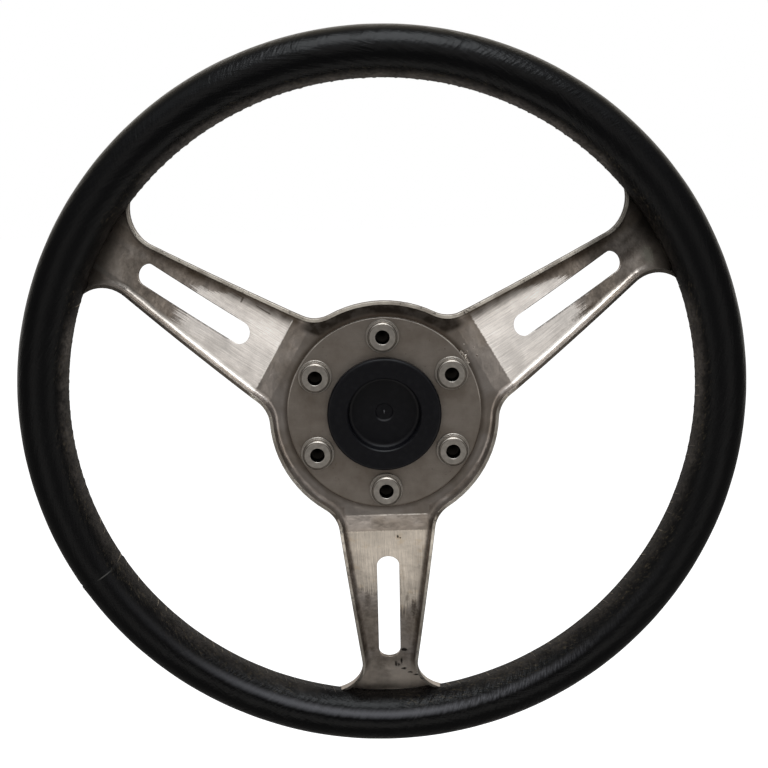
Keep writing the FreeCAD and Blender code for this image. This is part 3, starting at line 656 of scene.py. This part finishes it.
def plate_steel():
    """The hub's round plate: fine level grain, faint blotches, a painted shadow below each bush, a
    painted highlight on its upper edge and painted shade on its lower edge.
    """
    n = Surface("plate_steel", Metallic=0.9)
    grain = n.noise(n.join(n.multiply(n.x, 0.06), 0.0, n.multiply(n.z, 2.2)), 1.0, 4.0, 0.6)
    blotch = n.noise(n.place, 0.07, 4.0, 0.6)
    tone = n.add(
        n.step(grain, 0.3, 0.7, 0.95, 1.05, smooth=False),
        n.step(blotch, 0.35, 0.7, -0.08, 0.05),
    )
    n.colour = n.scale(PLATE_GREY, tone)
    level = n.join(n.x, 0.0, n.z)
    shadow_drop = 1.9
    gaps = []
    for index in range(BUSHES):
        angle = BUSH_TURN * index
        centre = (BOLT_RADIUS * math.sin(angle), 0.0, BOLT_RADIUS * math.cos(angle) - shadow_drop)
        gaps.append(n.vector_math("DISTANCE", level, centre))
    near = gaps[0]
    for gap in gaps[1:]:
        near = n.math("MINIMUM", near, gap)
    # Painted shadow below each bush, patchy, where the plate is also a little rougher
    bush_shadow = n.multiply(n.step(near, 9.8, 7.4), n.step(blotch, 0.25, 0.75, 0.55, 1.0))
    n.paint(bush_shadow, 0.8, BUSH_SHADOW_BROWN)
    radius = n.radius()
    edge = PLATE_RADIUS - 0.2
    # Painted highlight along the plate's upper edge
    edge_highlight = n.multiply(n.step(radius, edge - 0.4, edge), n.step(n.z, -12.0, 20.0))
    n.paint(n.multiply(edge_highlight, n.step(blotch, 0.35, 0.6, 0.4, 1.0)), 0.7, PLATE_EDGE_HIGHLIGHT)
    # Painted shade along the plate's lower edge
    n.paint(n.multiply(n.step(radius, edge - 1.0, edge), n.step(n.z, 4.0, -20.0)), 0.7, GRIME_AND_SHADE)
    n.paint(n.step(n.noise(n.place, 0.7, 1.0), 0.74, 0.77), 0.5, GRIME_AND_SHADE)
    relief = n.add(n.multiply(grain, 0.03), n.multiply(blotch, 0.5))
    rough = n.add(0.28, n.multiply(bush_shadow, 0.2), n.multiply(grain, 0.06))
    return n.finish(n.bump(relief, 1.0, n.soft_edges(0.3)), Roughness=rough)


def bush_steel():
    """Turned bushes: fine rings round each screw hole, painted shade on the chamfer and inside the
    hole.
    """
    n = Surface("bush_steel", Metallic=0.9)
    _, along, across = n.polar(BUSHES)
    gap = n.hypotenuse(n.subtract(along, BOLT_RADIUS), across)
    rings = n.rings(gap, 3.2, 0.7)
    dirt = n.noise(n.place, 0.5, 4.0, 0.6)
    tone = n.add(
        n.step(rings, 0.3, 0.7, 0.86, 1.10, smooth=False),
        n.step(dirt, 0.35, 0.7, -0.16, 0.05),
    )
    n.colour = n.scale(BUSH_GREY, tone)
    collar = n.step(n.y, 2.6, 4.4, 0.0, 0.45)
    n.paint(collar, n.step(dirt, 0.3, 0.6), GRIME_AND_SHADE)
    # Painted shade on the chamfer, lifted along a thin line at its edge
    chamfer_shade = n.multiply(n.step(gap, CHAMFER_LINE - 0.55, CHAMFER_LINE - 0.35), n.step(n.y, 1.2, 0.9))
    bright_line = n.line(gap, CHAMFER_LINE, 0.26, 0.08)
    n.paint(chamfer_shade, n.subtract(0.8, n.multiply(bright_line, 0.7)), GRIME_AND_SHADE)
    # Painted shade inside the bore, darker deeper in
    in_bore = n.step(gap, BORE_RADIUS + 0.22, BORE_RADIUS)
    n.paint(in_bore, n.step(n.y, 0.3, 1.0, 0.8, 1.0), BORE_SHADE)
    rough = n.add(0.30, n.multiply(dirt, 0.14))
    return n.finish(n.bump(rings, 0.035, n.soft_edges(0.3)), Roughness=rough)


def weld_steel():
    """Weld metal: lumpy, darker, with bright tips."""
    n = Surface("weld_steel", Metallic=1.0)
    lumps = n.noise(n.place, 0.9, 4.0, 0.6)
    n.colour = n.blend(n.step(lumps, 0.4, 0.65), WELD_DARK, WELD_LIGHT)
    return n.finish(n.bump(lumps, 0.5), Roughness=n.step(lumps, 0.3, 0.7, 0.5, 0.3))


def cap_plastic():
    """Black moulded plastic: satin, with faint turned rings, a little dust in the recess and
    painted highlights on the nib and the recess's lower edge.
    """
    n = Surface("black_plastic", Specular_IOR_Level=0.17)
    radius = n.radius()
    rings = n.rings(radius, 1.4, 0.6)
    grain = n.noise(n.place, 2.2, 3.0, 0.6)
    dust = n.multiply(n.step(n.noise(n.place, 0.35, 4.0, 0.65), 0.45, 0.75), 0.5)
    n.colour = n.blend(dust, CAP_BLACK, CAP_DUST)
    # Painted highlights on the nib and on the lower edge of the recess, on the front only
    nib = n.multiply(n.line(n.x, 0.0, 0.45, 0.1), n.line(n.z, 0.0, 1.1, 0.5))
    arc = n.multiply(n.line(radius, 4.3, 0.55, 0.15), n.step(n.z, -2.2, -4.0), 0.35)
    n.paint(n.maximum(nib, arc), n.step(n.y, 9.6, 9.0), CAP_HIGHLIGHT)
    rough = n.add(0.36, n.multiply(grain, 0.12), n.multiply(dust, 0.1))
    relief = n.add(n.multiply(rings, 0.05), n.multiply(grain, 0.02))
    return n.finish(n.bump(relief, 1.0), Roughness=rough)


def leather():
    """Black leather: fine grain, crossing wrinkles, grey-brown where its inner side is rubbed;
    painted light on the rubbed side, the bottom's sheen, the cross seam's lap and the outer side.
    """
    n = Surface("black_leather", Specular_IOR_Level=0.13)
    angle, around = n.tube()
    length = n.multiply(angle, RIM_RADIUS)
    girth = n.multiply(around, GRIP_RADIUS)
    wander = n.noise(n.place, 0.035, 3.0)
    patches = n.noise(n.place, 0.11, 4.0, 0.6)
    slant = n.add(n.multiply(girth, 0.92), n.multiply(length, -0.30))
    wrinkle = n.grain((length, 0.065), (slant, 0.50), 3.0, 4.0, 0.60, 0.35)
    over = n.add(n.multiply(length, 0.86), n.multiply(girth, 0.5))
    cross_folds = n.grain((over, 0.55), (girth, 0.13), 7.0, 3.0, 0.55, 0.4)
    cells = n.cells(n.place, 0.95)
    fine = n.noise(n.place, 1.9, 3.0, 0.6)

    # Rubbed grey-brown along the inner side, less beside the spokes
    _, along, across = n.polar(SPOKES)
    near_spoke = n.multiply(n.line(across, 0.0, 46.0, 30.0), n.step(along, 0.0, 10.0))
    inner = n.multiply(n.step(around, -0.60, -1.20), n.step(around, -2.9, -2.1))
    scuff = n.noise(n.place, 0.55, 4.0, 0.7)
    worn = n.multiply(
        inner, n.step(patches, 0.30, 0.66, 0.40, 1.0), n.step(scuff, 0.34, 0.62, 0.45, 1.15)
    )
    worn = n.multiply(worn, n.subtract(1.0, n.multiply(near_spoke, 0.85)))
    # Painted light and shade: the rubbed colour is lighter towards the top and darker towards the
    # bottom
    rubbed_and_lit = n.scale(LEATHER_WORN, n.step(n.z, -90.0, 90.0, 0.45, 1.9))
    n.colour = n.blend(worn, LEATHER_BLACK, rubbed_and_lit)
    fleck = n.grain((length, 0.35), (slant, 0.9), 5.0, 4.0, 0.7, 0.6)
    flecks = n.multiply(n.step(fleck, 0.53, 0.66), n.step(wander, 0.40, 0.52))
    flecks = n.multiply(flecks, n.step(around, -0.35, -0.9), n.step(around, -2.2, -1.6))
    n.paint(flecks, 0.75, LEATHER_FLECK)

    # Painted sheen: a highlight along the near side at the bottom, broken by creases, where the
    # leather is also a little smoother
    sheen_line = n.add(n.math("ABSOLUTE", n.add(around, 0.37)), n.swing(cross_folds, 0.12))
    shine = n.add(
        n.multiply(n.step(n.z, -118.0, -170.0), 0.95), n.step(n.z, -60.0, -140.0, 0.0, 0.14)
    )
    painted_sheen = n.multiply(n.step(sheen_line, 0.25, 0.0), shine, n.step(fine, 0.2, 0.7, 0.75, 1.0))
    creased = n.grain((over, 1.3), (girth, 0.22), 9.0, 3.0, 0.6)
    creased = n.multiply(n.step(n.x, 12.0, 50.0), n.step(creased, 0.58, 0.44))
    painted_sheen = n.multiply(painted_sheen, n.subtract(1.0, n.multiply(creased, 0.65)))
    n.paint(painted_sheen, 1.0, LEATHER_SHEEN)

    # Painted highlight on the lap of the cross seam, and the browner outer side
    slant = n.math("SINE", n.add(around, LAP_SLANT_START))
    seam = n.multiply(slant, LAP_SLANT * RIM_RADIUS)
    lap = n.subtract(n.subtract(length, math.radians(SEAM_ANGLE) * RIM_RADIUS), seam)
    lap_highlight = n.multiply(n.line(lap, 0.25, 0.42, 0.10), n.line(around, -0.25, 0.42, 0.08))
    n.paint(lap_highlight, 0.9, LEATHER_LAP_HIGHLIGHT)
    # The outer side's brown, lighter towards the top: partly the leather's brown, partly painted
    # reflection
    outer = n.multiply(n.step(around, 0.80, 1.4), n.step(around, 2.6, 1.9))
    n.paint(outer, 0.85, n.scale(LEATHER_BROWN_AND_SHEEN, n.step(n.z, 40.0, 150.0, 1.0, 2.4)))

    aside = n.step(n.math("ABSOLUTE", n.x), 80.0, 145.0)
    rough = n.add(0.20, n.multiply(fine, 0.10), n.multiply(worn, 0.34), n.multiply(aside, 0.12))
    rough = n.subtract(rough, n.multiply(painted_sheen, 0.05))
    depth = n.step(wander, 0.36, 0.60, 0.35, 1.0)
    low = n.step(n.z, -104.0, -172.0)
    high = n.multiply(n.step(n.z, 110.0, 160.0), n.step(around, 0.1, 0.5))
    folding = n.add(0.12, n.multiply(low, 0.36), n.multiply(high, 0.30))
    relief = n.add(
        n.multiply(wrinkle, n.multiply(depth, 0.30)),
        n.multiply(cross_folds, n.multiply(depth, folding)),
        n.multiply(cells, n.add(0.03, n.multiply(inner, 0.05))),
        n.multiply(fine, 0.04),
    )
    return n.finish(n.bump(relief, 1.0), Roughness=rough)


def stitch_thread():
    """Waxed thread: dark brown, with tan where the wax has worn off."""
    n = Surface("dark_thread", Specular_IOR_Level=0.4, Roughness=0.5)
    patch = n.noise(n.place, 0.10, 3.0, 0.6)
    twist = n.noise(n.place, 2.4, 2.0)
    worn = n.multiply(n.step(patch, 0.50, 0.64), n.step(twist, 0.35, 0.6, 0.4, 1.0))
    n.colour = n.blend(worn, THREAD_DARK, THREAD_TAN)
    return n.finish(n.bump(twist, 0.12))


def hidden_steel():
    """Plain steel inside the grip."""
    n = Surface("core_steel", Metallic=1.0)
    scale = n.noise(n.place, 0.3, 4.0)
    n.colour = n.blend(scale, CORE_DARK, CORE_LIGHT)
    return n.finish(Roughness=n.step(scale, 0.3, 0.7, 0.45, 0.6))


def hidden_foam():
    """Moulded foam inside the grip."""
    n = Surface("grip_foam", Roughness=0.85)
    pores = n.cells(n.place, 1.2)
    n.colour = n.blend(pores, FOAM_DARK, FOAM_LIGHT)
    return n.finish(n.bump(pores, 0.3))


# Meshes


def new_object(name, vertices, faces, material):
    """A mesh object from points in metres."""
    mesh = bpy.data.meshes.new(name)
    mesh.from_pydata(vertices, [], faces)
    mesh.materials.append(material)
    item = bpy.data.objects.new(name, mesh)
    bpy.context.scene.collection.objects.link(item)
    return item


def new_piece(name, vertices, faces, material):
    """A smooth mesh object from points in millimetres."""
    piece = new_object(name, (np.asarray(vertices, float) * MM).tolist(), faces, material)
    piece.data.shade_smooth()
    piece.data.validate()
    return piece


def grid_faces(rows, columns, closed_rows=False, closed_columns=True, base=0):
    """Quads between neighbouring rows and columns of points, numbered row by row."""
    faces = []
    for row in range(rows if closed_rows else rows - 1):
        below = base + row * columns
        above = base + (row + 1) % rows * columns
        for column in range(columns if closed_columns else columns - 1):
            side = (column + 1) % columns
            faces.append((below + column, below + side, above + side, above + column))
    return faces


def ripple(values, seed, waves):
    """Smooth noise round a circle: a sum of random waves with whole numbers of periods."""
    dice = random.Random(seed)
    total = np.zeros_like(values)
    for wave in waves:
        phase = dice.uniform(0, 2 * math.pi)
        total = total + dice.uniform(0.5, 1.0) * np.sin(wave * values + phase)
    return total / len(waves)


def hump(values, width):
    """A smooth bump, 1 at 0 and nearly flat from two widths on."""
    return np.exp(-((values / width) ** 2))


def wrapped(angle):
    """An angle brought between minus and plus half a turn."""
    return (angle + math.pi) % (2 * math.pi) - math.pi


def on_grip(angle, around, radius):
    """Points on the grip from an angle round the wheel, one round the grip and a tube radius."""
    out = RIM_RADIUS + radius * np.sin(around)
    return np.stack(
        [out * np.sin(angle), RIM_DEPTH - radius * np.cos(around), -out * np.cos(angle)], -1
    )


def leather_wrap(material):
    """The leather: a round grip, puckered along its inner seam, with one lapped cross seam."""
    around_count = 84
    along_count = 1116
    inner_crowding = 0.45
    angle = np.linspace(-math.pi, math.pi, along_count, endpoint=False)
    spread = np.linspace(0, 2 * math.pi, around_count, endpoint=False)
    around = spread + inner_crowding * np.sin(spread) - math.pi / 2
    angle, around = np.meshgrid(angle, around, indexing="ij")
    from_seam = wrapped(around + math.pi / 2)
    radius = np.full_like(angle, GRIP_RADIUS - LEATHER_SINK)
    radius += 0.10 * ripple(angle, 1, (3, 5, 8, 13, 21))
    radius += 0.05 * ripple(angle + 0.11 * around, 2, (34, 47, 61, 80))

    # The seam's groove, and shoulders that each stitch pulls in
    pitch = STITCH_PITCH / INNER_RADIUS
    pucker = 0.5 + 0.5 * np.cos(2 * math.pi * angle / pitch)
    radius -= GROOVE_DEPTH * hump(from_seam, GROOVE_WIDTH)
    shoulder = hump(np.abs(from_seam) - SHOULDER_PLACE, SHOULDER_WIDTH)
    radius += shoulder * (SHOULDER_HEIGHT - PUCKER_DEPTH * pucker)

    # The cross seam: a raised lap that fades out, with a groove before it
    slant = LAP_SLANT * np.sin(around + LAP_SLANT_START)
    lap = (angle - math.radians(SEAM_ANGLE) - slant) * RIM_RADIUS
    radius += LAP_HEIGHT * np.exp(-np.clip(lap, 0, None) / LAP_FADE) * (lap > 0)
    radius -= LAP_GROOVE_DEPTH * hump(lap - LAP_GROOVE_PLACE, LAP_GROOVE_WIDTH)

    # Tucks that close the leather on the tips of the spokes
    for spoke in range(SPOKES):
        for side in (-1, 1):
            entry = spoke * SPOKE_TURN + side * math.radians(TIP_ANGLE)
            tuck = hump(wrapped(angle - entry), TUCK_LENGTH) * hump(from_seam, TUCK_WIDTH)
            radius += TUCK_HEIGHT * tuck
    points = on_grip(angle, around, radius).reshape(-1, 3)
    faces = grid_faces(along_count, around_count, closed_rows=True)
    return new_piece("leather_wrap", points, faces, material)


def tube_along(path, thickness, sides, base):
    """Points and faces of a round tube along a path, with closed tapering ends."""
    path = np.asarray(path, float)
    tangent = np.gradient(path, axis=0)
    tangent /= np.linalg.norm(tangent, axis=1)[:, None]
    guide = path[len(path) // 2] - np.array([0, RIM_DEPTH, 0])
    across = np.cross(tangent, guide)
    across /= np.linalg.norm(across, axis=1)[:, None]
    lift = np.cross(tangent, across)
    turn = np.linspace(0, 2 * math.pi, sides, endpoint=False)[None, :, None]
    ring = across[:, None] * np.cos(turn) + lift[:, None] * np.sin(turn)
    points = (path[:, None] + ring * thickness[:, None, None]).reshape(-1, 3)
    faces = grid_faces(len(path), sides, base=base)
    faces.append(tuple(base + side for side in reversed(range(sides))))
    last = base + (len(path) - 1) * sides
    faces.append(tuple(last + side for side in range(sides)))
    return points, faces


def seam_stitches(index, material):
    """The hand stitches along the inner edge of the grip in one gap between spokes."""
    dice = random.Random(20 + index)
    points = []
    faces = []
    base = 0
    share = np.linspace(-1, 1, STITCH_POINTS)
    thickness = STITCH_RADIUS * np.sqrt(np.clip(1.02 - share**2 * 0.9, 0.02, None))
    first = index * SPOKE_TURN + math.radians(SPOKE_GAP)
    last = (index + 1) * SPOKE_TURN - math.radians(SPOKE_GAP)
    for angle in np.linspace(first, last, STITCH_COUNT):
        slant = STITCH_PITCH / INNER_RADIUS * dice.uniform(0.30, 0.42)
        reach = dice.uniform(0.28, 0.34)
        near = reach + (dice.uniform(0.10, 0.30) if dice.random() < 0.3 else 0.0)
        height = GRIP_RADIUS - dice.uniform(0.14, 0.30) - 0.06 * share**2 - 0.24 * share**6
        around = -math.pi / 2 + np.where(share > 0, share * near, share * reach)
        path = on_grip(angle + share * slant, around, height)
        more_points, more_faces = tube_along(path, thickness, STITCH_SIDES, base)
        points.append(more_points)
        faces += more_faces
        base += len(more_points)
    return new_piece(f"seam_stitches_{index + 1}", np.concatenate(points), faces, material)


def screw_thread(index, material):
    """The thread in the bore of one bush: a ridge that runs up from near the mouth."""
    angle = BUSH_TURN * index
    centre = np.array([BOLT_RADIUS * math.sin(angle), 0, BOLT_RADIUS * math.cos(angle)])
    turns = 4.2
    start = 0.9
    per_turn = 36
    overlap = 0.02
    ridge = 0.34
    half_top = 0.06  # of the pitch
    count = int(turns * per_turn)
    turn = np.arange(count + 1) / per_turn
    taper = np.clip(np.minimum(turn, turns - turn) * 4, 0.05, 1)
    section = ((0.0, -0.5), (ridge, -half_top), (ridge, half_top), (0.0, 0.5))
    rows = []
    for inward, shift in section:
        radius = BORE_RADIUS + overlap - inward * taper
        depth = start + turn * THREAD_PITCH + shift * THREAD_PITCH
        spin = 2 * math.pi * turn
        rows.append(np.stack([radius * np.cos(spin), depth, radius * np.sin(spin)], -1) + centre)
    points = np.stack(rows, 1).reshape(-1, 3)
    faces = grid_faces(count + 1, len(section), closed_columns=False)
    return new_piece(f"screw_thread_{index + 1}", points, faces, material)


def weld_spatter(material):
    """Small beads of weld metal beside the tack weld."""
    dice = random.Random(7)
    rows = 7
    sides = 10
    flatness = 0.7
    points = []
    faces = []
    for out, turn, depth, size in BEADS:
        angle = math.radians(turn)
        centre = np.array([out * math.cos(angle), depth, out * math.sin(angle)])
        faces += grid_faces(rows, sides, base=len(points))
        for row in range(rows):
            tilt = math.pi * row / (rows - 1)
            for side in range(sides):
                spin = 2 * math.pi * side / sides
                flat = math.sin(tilt)
                ball = (flat * math.cos(spin), -flatness * math.cos(tilt), flat * math.sin(spin))
                points.append(centre + size * dice.uniform(0.86, 1.12) * np.array(ball))
    piece = new_piece("weld_spatter", points, faces, material)
    smooth = piece.modifiers.new("smooth", "SUBSURF")
    smooth.levels = 1
    smooth.render_levels = 1
    return piece


# Studio


def white_world():
    """White where it is seen, and a plain grey light for everything else."""
    world = bpy.data.worlds.new("studio")
    bpy.context.scene.world = world
    world.use_nodes = True
    n = Graph(world.node_tree)
    strength = n.step(n.seen_directly(), 0.0, 1.0, WORLD_LIGHT, 1.0, smooth=False)
    n.fill(n.tree.nodes["Background"], ("Strength", "Color"), (strength, (1, 1, 1)))


def white_floor():
    """A pale floor below the wheel, white where it is seen, darker only in the wheel's shadow."""
    material, n = new_material("floor_white")
    paint = n.node("BsdfDiffuse")
    n.put(paint.inputs["Color"], FLOOR_PAINT)
    glow = n.node("Emission")
    n.fill(glow, ("Strength", "Color"), (n.seen_directly(), FLOOR_GLOW))
    both = n.node("AddShader")
    n.fill(both, range(2), (paint.outputs[0], glow.outputs[0]))
    n.put(n.node("OutputMaterial").inputs["Surface"], both.outputs[0])
    signs = ((-1, -1), (1, -1), (1, 1), (-1, 1))
    corners = [(FLOOR_HALF * x, FLOOR_HALF * y, FLOOR_LEVEL) for x, y in signs]
    item = new_object("floor", corners, [(0, 1, 2, 3)], material)


def tent_material():
    """Bright panels round a dark opening on both sides of the wheel, and a bright top."""
    material, n = new_material("tent_panels")
    place = n.node("TexCoord").outputs["Object"]
    _, depth, rise = n.split(n.vector_math("NORMALIZE", place, (0, 0, 0)))
    dip = math.radians(TENT_DIP)
    toward = n.add(
        n.multiply(n.math("ABSOLUTE", depth), math.cos(dip)), n.multiply(rise, math.sin(dip))
    )
    off_axis = n.math("ARCCOSINE", toward)
    opening = n.step(off_axis, *map(math.radians, TENT_OPENING))
    sides = n.step(off_axis, *map(math.radians, TENT_PANELS), 1.0, 0.0)
    behind_below = n.multiply(n.step(depth, -0.1, 0.1, 0.0, 0.85), n.step(rise, -0.05, -0.3))
    ring = n.multiply(opening, sides, n.subtract(1.0, behind_below))
    top = n.multiply(n.step(rise, 0.42, 0.75), n.step(depth, -0.16, 0.06, 1.0, 0.30))
    light = n.step(n.maximum(n.multiply(ring, 0.95), top), 0.0, 1.0, TENT_DIMMEST, 1.0)
    clear = n.node("BsdfTransparent")
    n.put(clear.inputs["Color"], n.scale(n.blend(top, WARM_WHITE, COOL_WHITE), light))
    n.put(n.node("OutputMaterial").inputs["Surface"], clear.outputs[0])
    return material


def studio_tent():
    """The studio as gloss sees it: a tent that only dims what is reflected."""
    rows = 33
    sides = 48
    pole_gap = 0.02
    vertices = []
    for row in range(rows):
        tilt = math.pi * (row + pole_gap) / (rows - 1 + 2 * pole_gap)
        for side in range(sides):
            spin = 2 * math.pi * side / sides
            out = TENT_RADIUS * math.sin(tilt)
            up = max(TENT_RADIUS * math.cos(tilt), FLOOR_LEVEL + 0.01)
            vertices.append((out * math.cos(spin), out * math.sin(spin), up))
    tent = new_object("tent", vertices, grid_faces(rows, sides), tent_material())
    tent.visible_camera = False
    tent.visible_diffuse = False
    tent.visible_transmission = False
    tent.visible_shadow = False


def key_lamp():
    """One large square lamp, above the wheel and a little in front of it."""
    place = Vector((0.1, -0.55, 1.5))
    target = Vector((0, 0.03, 0))
    data = bpy.data.lights.new("key", "AREA")
    data.shape = "SQUARE"
    data.size = 1.1
    data.energy = 22
    data.color = COOL_WHITE
    lamp = bpy.data.objects.new("key", data)
    lamp.location = place
    lamp.rotation_euler = (target - place).to_track_quat("-Z", "Y").to_euler()
    bpy.context.scene.collection.objects.link(lamp)


def camera():
    """The photograph's viewpoint: in front of the mounting side, a little above it."""
    distance = 0.850
    rise = math.radians(11.883)
    turn = math.radians(-0.604)
    roll = math.radians(-1.530)
    level = math.cos(rise)
    back = Vector((math.sin(turn) * level, -math.cos(turn) * level, math.sin(rise)))
    right = (-back).cross(Vector((0, 0, 1))).normalized()
    up = back.cross(right)
    tilted = right * math.cos(roll) + up * math.sin(roll)
    upright = up * math.cos(roll) - right * math.sin(roll)
    data = bpy.data.cameras.new("camera")
    data.sensor_width = 36
    data.lens = 80.59
    data.shift_x = 0.0014
    data.shift_y = 0.0151
    view = bpy.data.objects.new("camera", data)
    axes = Matrix((tilted, upright, back)).transposed()
    place = Vector((0, RIM_DEPTH * MM, 0)) + back * distance
    view.matrix_world = Matrix.Translation(place) @ axes.to_4x4()
    bpy.context.scene.collection.objects.link(view)
    bpy.context.scene.camera = view


def dress(names, material):
    """Give a material to the solids of some nodes."""
    for name in names:
        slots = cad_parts[name].data.materials
        slots.clear()
        slots.append(material)


def main():
    bushes = range(BUSHES)
    spokes = range(SPOKES)
    weld = weld_steel()
    dark_thread = stitch_thread()
    bush = bush_steel()
    dress(["spoke_spider"], spider_steel())
    dress(["hub_plate"], plate_steel())
    dress([f"hub_bush_{index + 1}" for index in bushes], bush)
    dress(["centre_cap"], cap_plastic())
    dress(["plate_tack_weld"] + [f"core_weld_{index + 1}" for index in spokes], weld)
    dress(["rim_core"], hidden_steel())
    dress(["rim_foam"], hidden_foam())

    wrap = leather_wrap(leather())
    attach(wrap, "root")
    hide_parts("leather_cover")
    for index in spokes:
        stitches = seam_stitches(index, dark_thread)
        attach(stitches, "root")
        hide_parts(f"edge_thread_{index + 1}")
    for index in bushes:
        thread = screw_thread(index, bush)
        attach(thread, "root")
    spatter = weld_spatter(weld)
    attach(spatter, "root")

    white_world()
    white_floor()
    studio_tent()
    key_lamp()
    camera()
    bpy.context.scene.view_settings.view_transform = "Standard"


main()
